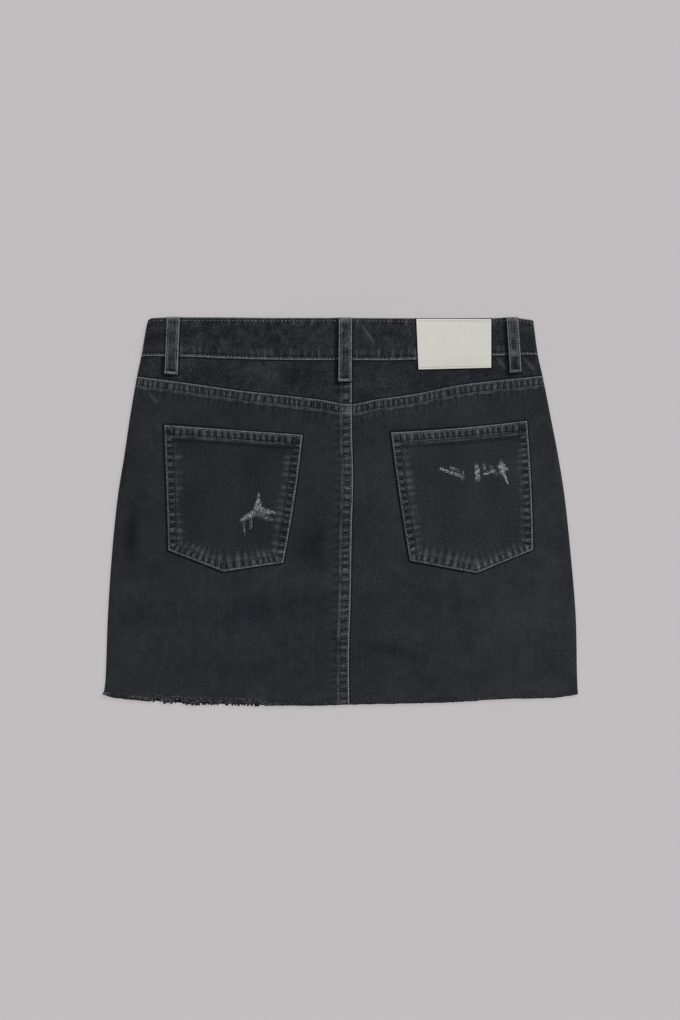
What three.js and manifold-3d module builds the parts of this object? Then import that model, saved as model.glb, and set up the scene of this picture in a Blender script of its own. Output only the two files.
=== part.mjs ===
// A five-loop denim mini skirt with a raw hem, laid flat on its front with its back up.
// Millimetres. x runs across the skirt, y from the hem to the waist, z up from the table.
// The origin is under the middle of the skirt's bounding box, on the table.
// Every cloth piece is a wall: a grid of points on its outer face, one on its inner face, and a rim.
import * as THREE from "three";
import { mergeVertices } from "three/addons/utils/BufferGeometryUtils.js";
import Module from "manifold-3d";

const wasm = await Module();
wasm.setup();

// Cloth and seams
const DENIM = 1.2; // one layer of denim
const BAND = 2.2; // the waistband, two layers and an interlining
const SEAM = 0.3; // between two pieces at a seam
const FELL = 11.5; // width of a felled seam
const FELL_RAISE = 0.9; // its extra layers
const FELL_STEP = 0.6; // the width of the step down from it
const SIDE_TURN = 4; // how far in the cloth turns over at a side
const TURN_STEPS = 4; // columns in a quarter of that turn

// The outline, by section from the hem up
const SIDES = [
  { y: -183, left: -237.3, right: 237.3 },
  { y: -166, left: -235.5, right: 236.3 },
  { y: -106, left: -233.4, right: 235.1 },
  { y: -46, left: -229.6, right: 230.2 },
  { y: 14, left: -223.6, right: 223.9 },
  { y: 54, left: -217.3, right: 217.6 },
  { y: 94, left: -211, right: 210 },
  { y: 134, left: -204.1, right: 202.2 },
  { y: 156, left: -199.4, right: 197.4 },
  { y: 184, left: -194.6, right: 193.5 },
  { y: 191, left: -192.7, right: 192.7 },
];
// The hem, the yoke seam, and the waistband's lower and upper edges, from side to side
const HEM = [
  { x: -237.4, y: -182.2 },
  { x: -226, y: -185.4 },
  { x: -186, y: -189.3 },
  { x: -141, y: -192.5 },
  { x: -30, y: -193.9 },
  { x: 67, y: -191.8 },
  { x: 162, y: -187.6 },
  { x: 213, y: -185.6 },
  { x: 237.4, y: -182.4 },
];
const YOKE_SEAM = [
  { x: -204, y: 135.2 },
  { x: -145, y: 128.4 },
  { x: -95, y: 121 },
  { x: -45, y: 113.5 },
  { x: 10, y: 106.2 },
  { x: 58, y: 115.4 },
  { x: 96, y: 122.3 },
  { x: 136, y: 128.3 },
  { x: 202, y: 135.3 },
];
const BAND_LOW = [
  { x: -199.4, y: 157.4 },
  { x: -120, y: 154.4 },
  { x: -40, y: 153 },
  { x: 60, y: 152.6 },
  { x: 150, y: 155.6 },
  { x: 197.4, y: 156 },
];
const BAND_TOP = [
  { x: -192.7, y: 190.8 },
  { x: -187, y: 193.1 },
  { x: -174, y: 193.6 },
  { x: 178, y: 193.6 },
  { x: 192.7, y: 190.8 },
];
// The centre back seam's edge, from the hem up
const CENTRE_BACK = [
  { y: -194, x: 8 },
  { y: -140, x: 7.6 },
  { y: -90, x: 9.2 },
  { y: -20, x: 11 },
  { y: 31, x: 12.4 },
  { y: 75, x: 11.4 },
  { y: 154, x: 10.9 },
];

// How high the inner face of the back lies, at the sides and added over the fly and the button
const LIE = [
  { y: -194, side: 2.8, centre: 0.6 },
  { y: -60, side: 2.9, centre: 1 },
  { y: 0, side: 3.1, centre: 1.2 },
  { y: 50, side: 3.3, centre: 2.1 },
  { y: 107, side: 3.6, centre: 3.7 },
  { y: 155, side: 4, centre: 5.6 },
  { y: 194, side: 4, centre: 5.6 },
];
const LIE_SPREAD = 70; // how far sideways the lift over the fly reaches
// The back's largest soft folds: middle, half length and half width, turn in degrees, height
const FOLDS = [
  { x: -70, y: -92, long: 75, wide: 22, turn: 8, rise: -0.6 },
  { x: 75, y: -90, long: 80, wide: 22, turn: -10, rise: -0.6 },
  { x: -25, y: -66, long: 55, wide: 20, turn: 4, rise: 0.5 },
  { x: 60, y: -128, long: 70, wide: 24, turn: -5, rise: -0.5 },
  { x: 172, y: -130, long: 34, wide: 48, turn: 0, rise: 0.6 },
  { x: -208, y: -20, long: 22, wide: 40, turn: -14, rise: -0.5 },
  { x: -28, y: 62, long: 24, wide: 30, turn: -30, rise: -0.4 },
  { x: 32, y: 74, long: 22, wide: 28, turn: 25, rise: 0.4 },
];

// The front, under the back
const FRONT_DIP = 10; // how far the waist is lower in front
const FRONT_DIP_REACH = 190;
const FRONT_HEM_SHORTER = 1;
const LAP_LEFT_EDGE = 8; // the left front's edge, laid over the right front
const LAP_RIGHT_EDGE = -4; // the right front's edge, inside it
const LAP_RISE = DENIM + 0.4;
const LAP_FLAT = 11.5; // the right front lies on the left as far as here
const LAP_END = 36; // and on the table from here
const FLY_FADE = 75; // below the waistband, the lift over the button fades over this length
const BAND_TO_FRONT = 0.5; // the fronts go into the waistband this far above its face
const OUTER_END = 20; // the waistband's end with the buttonhole
const INNER_END = -18; // and the end with the button
const BAND_RAMP = 66; // the length over which each end comes down to the table
const OUTER_FLAT = -15;
const INNER_FLAT = 24;
const BAND_STRAIGHT = 172; // past here, on either side, it goes round to the back
const BAND_SOFT = 0.35; // its folded edges are thinner by this, above and below

// The shank button
const BUTTON_X = 4;
const BUTTON_R = 8.5;
const BUTTON_HEAD = 2.2;
const BUTTON_EDGE = 0.5;
const SHANK_R = 2.2;
const TACK_R = 4.5;
const TACK = 0.9;
const HOLE_R = 2.8;
const BUTTONHOLE = 15; // length from the shank to its far end
const BUTTONHOLE_HALF = 1.6;
const ROUND_STEPS = 24;
const OUTER_Z = BUTTON_HEAD + SEAM; // outer face of the buttonhole end
const INNER_Z = OUTER_Z + BAND + SEAM; // outer face of the button end
const TACK_Z = INNER_Z + BAND + SEAM;

// The zip, shut behind the fly
const ZIP_X = 1;
const ZIP_HALF = 11;
const CHAIN_HALF = 2.6;
const TAPE = 0.7;
const CHAIN = 1.5;
const ZIP_TOP = 140;
const ZIP_END = 52;
const ZIP_ROWS = 10;

// Belt loops: middle of the top and bottom end, and width
const LOOPS = [
  { name: "belt_loop_back_left", x: -167.2, lean: -2.8, foot: 137.4, wide: 13.6 },
  { name: "belt_loop_back_centre", x: 4.7, lean: -0.6, foot: 130.3, wide: 13 },
  { name: "belt_loop_back_right", x: 171.6, lean: 3.7, foot: 139.6, wide: 11.4 },
];
const LOOP_TOP = 193.9;
const LOOP_CLOTH = 1.6; // a folded strip
const LOOP_TURNED = 1; // its turned-in ends
const LOOP_TURNED_LONG = 8;
const LOOP_EDGE = 1.4; // how far in its rounded edge reaches
const LOOP_EDGE_DROP = 0.5;
const LOOP_CORNER = 0.8; // the rounding of its ends
const LOOP_STEP = 1.2; // from a turned-in end to the strip between
const LOOP_CLEAR = 2.5; // a loop's height looks this far along the skirt for steps under it
const FRONT_LOOPS = [
  { name: "belt_loop_front_left", x: -104 },
  { name: "belt_loop_front_right", x: 104 },
];
const FRONT_LOOP_WIDE = 13;
const FRONT_LOOP_LONG = 56;
const FRONT_LOOP_DENT = LOOP_CLOTH + SEAM; // how far such a loop holds the front up
const FRONT_LOOP_FLAT = 9; // half the width that it holds up
const FRONT_LOOP_FADE = 24;

// The back pockets: corners, the point of the bottom, and how the two differ
const POCKETS = [
  {
    name: "back_pocket_left",
    top: [-176.9, 86.1, -38.1, 76.2],
    bottom: [-172.7, -39.2, -57.5, -51.6],
    point: [-117.7, -60.7],
  },
  {
    name: "back_pocket_right",
    top: [50.5, 78.7, 186.1, 90.4],
    bottom: [69.5, -49.3, 192.3, -38.4],
    point: [135.8, -61.7],
  },
];
const POCKET_OFF = 0.45; // above the panel
const POCKET_PUFF = 0.7; // more than that in its middle
const POCKET_RISE = 42; // reached this far in from its stitched edges
const POCKET_HEM = 11.5;
const POCKET_HEM_RAISE = 0.6;
const POCKET_BORDER = 9; // the turned-in allowance
const POCKET_BORDER_RAISE = 0.4;
const POCKET_STEP = 0.8;

// The label, a bare leather patch
const LABEL = {
  left: 75.5,
  right: 150.4,
  top: 192,
  bottom: 143.4,
  lean: 2.2, // its lower left corner is further right
  sag: 1.8, // and lower
  thick: 1,
  rim: 1.5,
  round: 0.3, // its edge is lower by this
  clear: 3, // its height looks this far along the skirt for steps under it
};

const COLOURS = {
  denim: { color: 0x2b2c31, roughness: 0.95, metalness: 0 },
  label: { color: 0xcbc9c1, roughness: 0.6, metalness: 0 },
  metal: { color: 0x55524c, roughness: 0.4, metalness: 1 },
  tape: { color: 0x1d1d20, roughness: 0.9, metalness: 0 },
};

const mix = (a, b, t) => a + (b - a) * t;
const evenly = (from, to, count) =>
  Array.from({ length: count + 1 }, (_, i) => mix(from, to, i / count));
const clamp = (t) => Math.min(1, Math.max(0, t));
const smooth = (t) => clamp(t) ** 2 * (3 - 2 * clamp(t));

// A smooth curve through the rows of a table, from one named column to another.
function through(rows, from, to) {
  const n = rows.length;
  const slope = rows.map((row, i) => {
    const a = rows[Math.max(0, i - 1)];
    const b = rows[Math.min(n - 1, i + 1)];
    return (b[to] - a[to]) / (b[from] - a[from]);
  });
  return (at) => {
    const t = Math.min(rows[n - 1][from], Math.max(rows[0][from], at));
    let i = 0;
    while (i < n - 2 && t > rows[i + 1][from]) i += 1;
    const [a, b] = [rows[i], rows[i + 1]];
    const width = b[from] - a[from];
    const s = (t - a[from]) / width;
    const rise = (b[to] - a[to]) * s * s * (3 - 2 * s);
    const lean = slope[i] * (1 - s) ** 2 * s - slope[i + 1] * s * s * (1 - s);
    return a[to] + rise + width * lean;
  };
}

const leftSide = through(SIDES, "y", "left");
const rightSide = through(SIDES, "y", "right");
const hem = through(HEM, "x", "y");
const yokeSeam = through(YOKE_SEAM, "x", "y");
const bandLow = through(BAND_LOW, "x", "y");
const bandTop = through(BAND_TOP, "x", "y");
const centreBack = through(CENTRE_BACK, "y", "x");
const sideLie = through(LIE, "y", "side");
const centreLie = through(LIE, "y", "centre");

// The height of a soft fold, a long rounded hill or trough.
function foldHeight(fold, x, y) {
  const turn = THREE.MathUtils.degToRad(fold.turn);
  const along = (x - fold.x) * Math.cos(turn) + (y - fold.y) * Math.sin(turn);
  const across = (y - fold.y) * Math.cos(turn) - (x - fold.x) * Math.sin(turn);
  return fold.rise * Math.exp(-((along / fold.long) ** 2) - (across / fold.wide) ** 2);
}

// The back's inner face.
function backInside(x, y) {
  const lift = centreLie(y) * Math.exp(-((x / LIE_SPREAD) ** 2));
  return sideLie(y) + lift + FOLDS.reduce((sum, fold) => sum + foldHeight(fold, x, y), 0);
}

// The extra height of a felled seam, by the distance from its folded edge.
const fell = (distance) => FELL_RAISE * clamp((FELL + FELL_STEP - distance) / FELL_STEP);

// How far the two ends of the waistband stand above the table: the buttonhole end lies over the
// button's head and the button end over that, and the front belt loops hold both up a little.
function loopLift(x) {
  return FRONT_LOOPS.reduce((sum, loop) => {
    const past = Math.abs(x - loop.x) - FRONT_LOOP_FLAT;
    return sum + FRONT_LOOP_DENT * (1 - smooth(past / FRONT_LOOP_FADE));
  }, 0);
}
const outerEnd = (x) => OUTER_Z * (1 - smooth((OUTER_FLAT - x) / BAND_RAMP)) + loopLift(x);
const innerEnd = (x) => INNER_Z * (1 - smooth((x - INNER_FLAT) / BAND_RAMP)) + loopLift(x);
const frontDip = (x) => FRONT_DIP * Math.max(0, 1 - (x / FRONT_DIP_REACH) ** 2);
const frontWaist = (x) => bandLow(x) - frontDip(x) - SEAM;
const fadeBelowBand = (x, y) => smooth(1 - (frontWaist(x) - y) / FLY_FADE);
const leftFrontFace = (x, y) => (outerEnd(x) + BAND_TO_FRONT) * fadeBelowBand(x, y);
function rightFrontFace(x, y) {
  const lap = LAP_RISE * (1 - smooth((x - LAP_FLAT) / (LAP_END - LAP_FLAT)));
  return mix(lap, innerEnd(x) + BAND_TO_FRONT, fadeBelowBand(x, y));
}

// A closed wall from two grids of points that face each other.
function wallGeometry(outer, inner) {
  const rows = outer.length;
  const columns = outer[0].length;
  const points = [...outer.flat(), ...inner.flat()];
  const at = (face, r, c) => (face * rows + r) * columns + c;
  const faces = [];
  const quad = (a, b, c, d) => faces.push(a, b, c, a, c, d);
  for (let r = 0; r < rows - 1; r += 1) {
    for (let c = 0; c < columns - 1; c += 1) {
      quad(at(0, r, c), at(0, r, c + 1), at(0, r + 1, c + 1), at(0, r + 1, c));
      quad(at(1, r, c), at(1, r + 1, c), at(1, r + 1, c + 1), at(1, r, c + 1));
    }
    quad(at(0, r, 0), at(0, r + 1, 0), at(1, r + 1, 0), at(1, r, 0));
    const end = columns - 1;
    quad(at(0, r, end), at(1, r, end), at(1, r + 1, end), at(0, r + 1, end));
  }
  for (let c = 0; c < columns - 1; c += 1) {
    quad(at(0, 0, c), at(1, 0, c), at(1, 0, c + 1), at(0, 0, c + 1));
    const end = rows - 1;
    quad(at(0, end, c), at(0, end, c + 1), at(1, end, c + 1), at(1, end, c));
  }
  if (wallVolume(points, faces) < 0) faces.reverse();
  const geometry = new THREE.BufferGeometry();
  geometry.setAttribute("position", new THREE.Float32BufferAttribute(points.flat(), 3));
  geometry.setIndex(faces);
  return geometry;
}

function wallVolume(points, faces) {
  const [a, b, c] = [new THREE.Vector3(), new THREE.Vector3(), new THREE.Vector3()];
  let volume = 0;
  for (let i = 0; i < faces.length; i += 3) {
    a.fromArray(points[faces[i]]);
    b.fromArray(points[faces[i + 1]]);
    c.fromArray(points[faces[i + 2]]);
    volume += a.dot(b.cross(c));
  }
  return volume;
}

function mesh(name, geometry, finish) {
  const made = new THREE.Mesh(geometry, new THREE.MeshStandardMaterial(COLOURS[finish]));
  made.name = name;
  made.geometry.computeVertexNormals();
  return made;
}

// Where a grid line lies between two edges: some way in from one of them, or a share between.
const fromStart = (distance) => ({ distance });
const fromEnd = (distance) => ({ distance, end: true });
function shares(count, startInset, endInset) {
  return Array.from({ length: count }, (_, i) => ({
    share: (i + 1) / (count + 1),
    startInset,
    endInset,
  }));
}
function place(line, start, end) {
  if (line.share !== undefined)
    return mix(start + line.startInset, end - line.endInset, line.share);
  return line.end ? end - line.distance : start + line.distance;
}

// The columns over a side's turn, for a wall of this thickness.
// turned is 0 at the side seam and 1 where the cloth lies flat.
function turnColumns(thickness, atEnd) {
  const columns = Array.from({ length: TURN_STEPS + 1 }, (_, i) => {
    const angle = (Math.PI / 2) * (i / TURN_STEPS);
    const inset = 1 - Math.cos(angle);
    const outer = SIDE_TURN * inset;
    const inner = thickness + (SIDE_TURN - thickness) * inset;
    const from = atEnd ? fromEnd : fromStart;
    return { outer: from(outer), inner: from(inner), turned: Math.sin(angle) };
  });
  return atEnd ? columns.reverse() : columns;
}
const flatColumns = (lines) => lines.map((line) => ({ outer: line, inner: line, turned: 1 }));

// The point where a column and a row of a four-sided piece cross.
function crossing(edges, column, row) {
  let x = 0;
  let y = mix(edges.bottom(0), edges.top(0), 0.5);
  for (let step = 0; step < 8; step += 1) {
    x = place(column, edges.left(y), edges.right(y));
    y = place(row, edges.bottom(x), edges.top(x));
  }
  return [x, y];
}

// A panel's wall. faces(x, y) gives the heights of its outer and inner face where it lies flat.
// At a side both turn to meet the other half of the skirt at middle(y).
function panelGeometry({ edges, columns, rows, faces, middle }) {
  const grid = (side) =>
    rows.map((row) =>
      columns.map((column) => {
        const [x, y] = crossing(edges, column[side], row);
        const flat = faces(x, y)[side];
        return [x, y, column.turned === 1 ? flat : mix(middle(y), flat, column.turned)];
      }),
    );
  return wallGeometry(grid("outer"), grid("inner"));
}

const sideMiddle = (y) => (sideLie(y) + DENIM) / 2;

const COARSE = 9; // columns between the sides and the centre
function backColumns(side) {
  if (side === "left") {
    const fellLines = [fromEnd(FELL + FELL_STEP), fromEnd(FELL), fromEnd(FELL / 2), fromEnd(0)];
    return [
      ...turnColumns(DENIM, false),
      ...flatColumns([...shares(COARSE, SIDE_TURN, FELL + FELL_STEP), ...fellLines]),
    ];
  }
  return [
    ...flatColumns([fromStart(0), ...shares(COARSE, 0, SIDE_TURN)]),
    ...turnColumns(DENIM, true),
  ];
}

function backPanel(side) {
  const left = side === "left";
  const edges = {
    left: left ? leftSide : (y) => centreBack(y) + SEAM,
    right: left ? centreBack : rightSide,
    bottom: hem,
    top: yokeSeam,
  };
  const seamRows = [fromEnd(FELL + FELL_STEP), fromEnd(FELL), fromEnd(FELL / 2), fromEnd(0)];
  const geometry = panelGeometry({
    edges,
    columns: backColumns(side),
    rows: [fromStart(0), ...shares(13, 0, FELL + FELL_STEP), ...seamRows],
    faces: (x, y) => {
      const raise = Math.max(fell(yokeSeam(x) - y), left ? fell(centreBack(y) - x) : 0);
      const inner = backInside(x, y);
      return { outer: inner + DENIM + raise, inner };
    },
    middle: (y) => sideMiddle(y) + SEAM / 2,
  });
  return mesh("back_panel_" + side, geometry, "denim");
}

function yoke(side) {
  const left = side === "left";
  const geometry = panelGeometry({
    edges: {
      left: left ? leftSide : (y) => centreBack(y) + SEAM,
      right: left ? centreBack : rightSide,
      bottom: (x) => yokeSeam(x) + SEAM,
      top: (x) => bandLow(x) - SEAM,
    },
    columns: backColumns(side),
    rows: [fromStart(0), ...shares(2, 0, 0), fromEnd(0)],
    faces: (x, y) => {
      const inner = backInside(x, y);
      return { outer: inner + DENIM + (left ? fell(centreBack(y) - x) : 0), inner };
    },
    middle: (y) => sideMiddle(y) + SEAM / 2,
  });
  return mesh("yoke_" + side, geometry, "denim");
}

function frontPanel(side) {
  const left = side === "left";
  const face = left ? leftFrontFace : rightFrontFace;
  const lapFlat = LAP_FLAT - LAP_RIGHT_EDGE;
  const lapEnd = LAP_END - LAP_RIGHT_EDGE;
  const lapLines = [...evenly(0, lapFlat, 2), mix(lapFlat, lapEnd, 0.5), lapEnd].map(fromStart);
  const columns = left
    ? [...turnColumns(DENIM, false), ...flatColumns([...shares(12, SIDE_TURN, 0), fromEnd(0)])]
    : [
        ...flatColumns([...lapLines, ...shares(COARSE, lapEnd, SIDE_TURN)]),
        ...turnColumns(DENIM, true),
      ];
  const geometry = panelGeometry({
    edges: {
      left: left ? leftSide : () => LAP_RIGHT_EDGE,
      right: left ? () => LAP_LEFT_EDGE : rightSide,
      bottom: (x) => hem(x) + FRONT_HEM_SHORTER,
      top: frontWaist,
    },
    columns,
    rows: [fromStart(0), ...shares(7, 0, FLY_FADE), ...evenly(FLY_FADE, 0, 6).map(fromEnd)],
    faces: (x, y) => ({ outer: face(x, y), inner: face(x, y) + DENIM }),
    middle: (y) => sideMiddle(y) - SEAM / 2,
  });
  return mesh("front_panel_" + side, geometry, "denim");
}

// The waistband is one strip: from the button end across the right front, round the side, across
// the back and back along the left front to the buttonhole end, which lies over the button end.
// Each station has the place of its outer and inner face and how its edges run there.
function bandStations() {
  const frontStation = (x, face) => ({
    x: () => [x, x],
    z: () => [face(x), face(x) + BAND],
    dip: frontDip(x),
  });
  const turnStations = (edge, inward, angles) =>
    angles.map((angle) => ({
      x: (y) => {
        const inset = 1 - Math.cos(angle);
        const outer = edge(y) + inward * SIDE_TURN * inset;
        return [outer, edge(y) + inward * (BAND + (SIDE_TURN - BAND) * inset)];
      },
      z: (y, at) => {
        const [low, high] = [0, backInside(at, y) + BAND];
        const middle = (low + high) / 2;
        const half = (high - low) / 2;
        return [middle + half * Math.sin(angle), middle + (half - BAND) * Math.sin(angle)];
      },
      dip: 0,
    }));
  const backStation = (x) => ({
    x: () => [x, x],
    z: (y) => [backInside(x, y) + BAND, backInside(x, y)],
    dip: 0,
  });
  const quarter = Array.from(
    { length: 2 * TURN_STEPS + 1 },
    (_, i) => (Math.PI / 2) * (i / TURN_STEPS - 1),
  );
  return [
    ...evenly(INNER_END, BAND_STRAIGHT, 20).map((x) => frontStation(x, innerEnd)),
    ...turnStations(rightSide, -1, quarter),
    ...evenly(BAND_STRAIGHT, -BAND_STRAIGHT, 16).map(backStation),
    ...turnStations(leftSide, 1, [...quarter].reverse()),
    ...evenly(-BAND_STRAIGHT, OUTER_END, 20).map((x) => frontStation(x, outerEnd)),
  ];
}

function waistband() {
  const stations = bandStations();
  const rows = [0, 0.05, 0.35, 0.65, 0.95, 1];
  const grids = [0, 1].map((face) =>
    rows.map((share) =>
      stations.map((station) => {
        let y = mix(bandLow(0), bandTop(0), share);
        let x = 0;
        for (let step = 0; step < 8; step += 1) {
          x = station.x(y)[face];
          y = mix(bandLow(x), bandTop(x), share) - station.dip;
        }
        const heights = station.z(y, x);
        const soft = share === 0 || share === 1 ? BAND_SOFT / BAND : 0;
        return [x, y, mix(heights[face], heights[1 - face], soft)];
      }),
    ),
  );
  const strip = solid(wallGeometry(grids[0], grids[1]));
  const cut = strip.subtract(buttonholeCut()).subtract(shankHole());
  return mesh("waistband", fromSolid(cut), "denim");
}

// Between a three.js geometry and a solid that can be cut.
function solid(geometry) {
  const bare = geometry.clone();
  for (const name of ["normal", "uv"]) bare.deleteAttribute(name);
  const merged = mergeVertices(bare, 1e-4);
  return new wasm.Manifold(
    new wasm.Mesh({
      numProp: 3,
      vertProperties: merged.attributes.position.array,
      triVerts: new Uint32Array(merged.index.array),
    }),
  );
}

function fromSolid(manifold) {
  const { numProp, vertProperties, triVerts } = manifold.getMesh();
  const points = [];
  for (let i = 0; i < vertProperties.length; i += numProp)
    points.push(vertProperties[i], vertProperties[i + 1], vertProperties[i + 2]);
  const geometry = new THREE.BufferGeometry();
  geometry.setAttribute("position", new THREE.Float32BufferAttribute(points, 3));
  geometry.setIndex(Array.from(triVerts));
  return geometry;
}

const buttonY = () => mix(bandLow(BUTTON_X), bandTop(BUTTON_X), 0.5) - frontDip(BUTTON_X);

// A keyhole buttonhole through the outer end only.
function buttonholeCut() {
  const [low, high] = [OUTER_Z - 1, OUTER_Z + BAND + SEAM / 2];
  const bar = new THREE.Shape();
  bar.moveTo(BUTTON_X, -BUTTONHOLE_HALF);
  bar.lineTo(BUTTON_X, BUTTONHOLE_HALF);
  bar.lineTo(BUTTON_X - BUTTONHOLE, BUTTONHOLE_HALF);
  bar.lineTo(BUTTON_X - BUTTONHOLE, -BUTTONHOLE_HALF);
  bar.closePath();
  const slot = new THREE.ExtrudeGeometry(bar, { depth: high - low, bevelEnabled: false });
  slot.translate(0, buttonY(), low);
  return solid(slot).add(roundHole(low, high));
}

// The hole that the shank goes through in the inner end.
const shankHole = () => roundHole(OUTER_Z + BAND + SEAM / 2, TACK_Z);

function roundHole(low, high) {
  const hole = new THREE.CylinderGeometry(HOLE_R, HOLE_R, high - low, ROUND_STEPS);
  hole.rotateX(Math.PI / 2);
  hole.translate(BUTTON_X, buttonY(), (low + high) / 2);
  return solid(hole);
}

// Head, shank and tack in one turned profile. The head lies on the table.
function button() {
  const profile = [
    [0, 0],
    [BUTTON_R - BUTTON_EDGE, 0],
    [BUTTON_R, BUTTON_EDGE],
    [BUTTON_R, BUTTON_HEAD - BUTTON_EDGE],
    [BUTTON_R - BUTTON_EDGE, BUTTON_HEAD],
    [SHANK_R, BUTTON_HEAD],
    [SHANK_R, TACK_Z],
    [TACK_R, TACK_Z],
    [TACK_R, TACK_Z + TACK / 2],
    [TACK_R - BUTTON_EDGE, TACK_Z + TACK],
    [0, TACK_Z + TACK],
  ].map(([r, z]) => new THREE.Vector2(r, z));
  const made = mesh("button", new THREE.LatheGeometry(profile, ROUND_STEPS), "metal");
  made.rotation.x = Math.PI / 2;
  made.position.set(BUTTON_X, buttonY(), 0);
  return made;
}

// The zip lies flat behind the fly: two tapes as one strip, with the closed chain along its middle.
function zip() {
  const lines = [
    -ZIP_HALF,
    -CHAIN_HALF - FELL_STEP,
    -CHAIN_HALF,
    CHAIN_HALF,
    CHAIN_HALF + FELL_STEP,
    ZIP_HALF,
  ];
  const grid = (upper) =>
    evenly(ZIP_END, ZIP_TOP, ZIP_ROWS).map((y) => {
      const under = rightFrontFace(ZIP_X, y) + DENIM + SEAM;
      return lines.map((x) => {
        const thick = Math.abs(x) <= CHAIN_HALF ? CHAIN : TAPE;
        return [ZIP_X + x, y, under + (upper ? thick : 0)];
      });
    });
  return mesh("zip", wallGeometry(grid(true), grid(false)), "tape");
}

// The outer surface of the back that trims lie on.
function backOutside(x, y) {
  const inner = backInside(x, y);
  if (y > bandLow(x) - SEAM) return inner + BAND;
  const seams = y > yokeSeam(x) ? 0 : fell(yokeSeam(x) - y);
  const centre = x < centreBack(y) + SEAM ? fell(centreBack(y) - x) : 0;
  return inner + DENIM + Math.max(seams, centre);
}
// The highest of it within a small distance, so that a strip clears the steps under it.
function highestUnder(x, y, reachX, reachY) {
  let highest = -Infinity;
  for (const dx of [-reachX, 0, reachX])
    for (const dy of [-reachY, 0, reachY])
      highest = Math.max(highest, backOutside(x + dx, y + dy));
  return highest;
}

// A belt loop: a strip with turned-in ends that rest on the skirt, and a low gap between them.
function backLoop({ name, x, lean, foot, wide }) {
  const length = LOOP_TOP - foot;
  const turned = LOOP_TURNED_LONG;
  const stops = [0, LOOP_CORNER, turned, turned + LOOP_STEP];
  const middle = evenly(turned + LOOP_STEP, length - turned - LOOP_STEP, 6).slice(1, -1);
  const steps = [...stops, ...middle, ...stops.map((stop) => length - stop).reverse()];
  const columns = [-wide / 2, -wide / 2 + LOOP_EDGE, wide / 2 - LOOP_EDGE, wide / 2];
  const grid = (upper) =>
    steps.map((step) => {
      const share = step / length;
      const y = LOOP_TOP - step;
      const fromNearEnd = Math.min(step, length - step);
      const rest = highestUnder(x + lean * share, y, wide / 2, LOOP_CLEAR) + SEAM;
      return columns.map((across) => {
        const edge = Math.abs(across) === wide / 2;
        const top = rest + LOOP_TURNED + LOOP_CLOTH;
        const drop = edge || fromNearEnd === 0 ? LOOP_EDGE_DROP : 0;
        const under = fromNearEnd > turned ? rest + LOOP_TURNED : rest;
        return [x + lean * share + across, y, upper ? top - drop : under];
      });
    });
  return mesh(name, wallGeometry(grid(true), grid(false)), "denim");
}

// A front loop is pressed flat between the table and the waistband.
function frontLoop({ name, x }) {
  const top = bandTop(x) - frontDip(x);
  const lines = [
    [-FRONT_LOOP_WIDE / 2, LOOP_EDGE_DROP],
    [-FRONT_LOOP_WIDE / 2 + LOOP_EDGE, 0],
    [FRONT_LOOP_WIDE / 2 - LOOP_EDGE, 0],
    [FRONT_LOOP_WIDE / 2, LOOP_EDGE_DROP],
  ];
  const grid = (upper) =>
    [0, 0.5, 1].map((share) =>
      lines.map(([across, lift]) => {
        const z = upper ? LOOP_CLOTH : lift;
        return [x + across, top - FRONT_LOOP_LONG * share, z];
      }),
    );
  return mesh(name, wallGeometry(grid(true), grid(false)), "denim");
}

// A patch pocket: points of the back panel moved out, with a raised hem and turned-in border.
function backPocket({ name, top, bottom, point }) {
  const [topLeftX, topLeftY, topRightX, topRightY] = top;
  const [lowLeftX, lowLeftY, lowRightX, lowRightY] = bottom;
  const pointShare = (point[0] - lowLeftX) / (lowRightX - lowLeftX);
  const width = topRightX - topLeftX;
  const height = topLeftY - lowLeftY;
  const borderShares = [0, 0.4, 1, 1 + POCKET_STEP / POCKET_BORDER];
  const sideShares = borderShares.map((s) => (s * POCKET_BORDER) / width);
  const inner = sideShares.at(-1);
  const inside = [...evenly(inner, pointShare, 3), ...evenly(pointShare, 1 - inner, 3).slice(1)];
  const across = [
    ...sideShares,
    ...inside.slice(1, -1),
    ...sideShares.map((s) => 1 - s).reverse(),
  ];
  const hemShares = [0, POCKET_HEM / 2, POCKET_HEM, POCKET_HEM + POCKET_STEP];
  const lowShares = borderShares.map((s) => (s * POCKET_BORDER) / height);
  const highShares = hemShares.map((s) => 1 - s / height).reverse();
  const between = evenly(lowShares.at(-1), highShares[0], 6).slice(1, -1);
  const up = [...lowShares, ...between, ...highShares];
  const lowEdge = (u) =>
    u < pointShare
      ? [mix(lowLeftX, point[0], u / pointShare), mix(lowLeftY, point[1], u / pointShare)]
      : [
          mix(point[0], lowRightX, (u - pointShare) / (1 - pointShare)),
          mix(point[1], lowRightY, (u - pointShare) / (1 - pointShare)),
        ];
  const grid = (upper) =>
    up.map((v) =>
      across.map((u) => {
        const low = lowEdge(u);
        const x = mix(low[0], mix(topLeftX, topRightX, u), v);
        const y = mix(low[1], mix(topLeftY, topRightY, u), v);
        const fromSide = Math.min(u, 1 - u) * width;
        const fromLow = v * height;
        const fromTop = (1 - v) * height;
        const puff = POCKET_PUFF * smooth(fromSide / POCKET_RISE) * smooth(fromLow / POCKET_RISE);
        const under = backInside(x, y) + DENIM + POCKET_OFF + puff;
        if (!upper) return [x, y, under];
        const reach = Math.min(fromSide, fromLow);
        const border = clamp((POCKET_BORDER + POCKET_STEP - reach) / POCKET_STEP);
        const hemStep = clamp((POCKET_HEM + POCKET_STEP - fromTop) / POCKET_STEP);
        const raise = Math.max(POCKET_BORDER_RAISE * border, POCKET_HEM_RAISE * hemStep);
        return [x, y, under + DENIM + raise];
      }),
    );
  return mesh(name, wallGeometry(grid(true), grid(false)), "denim");
}

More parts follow.
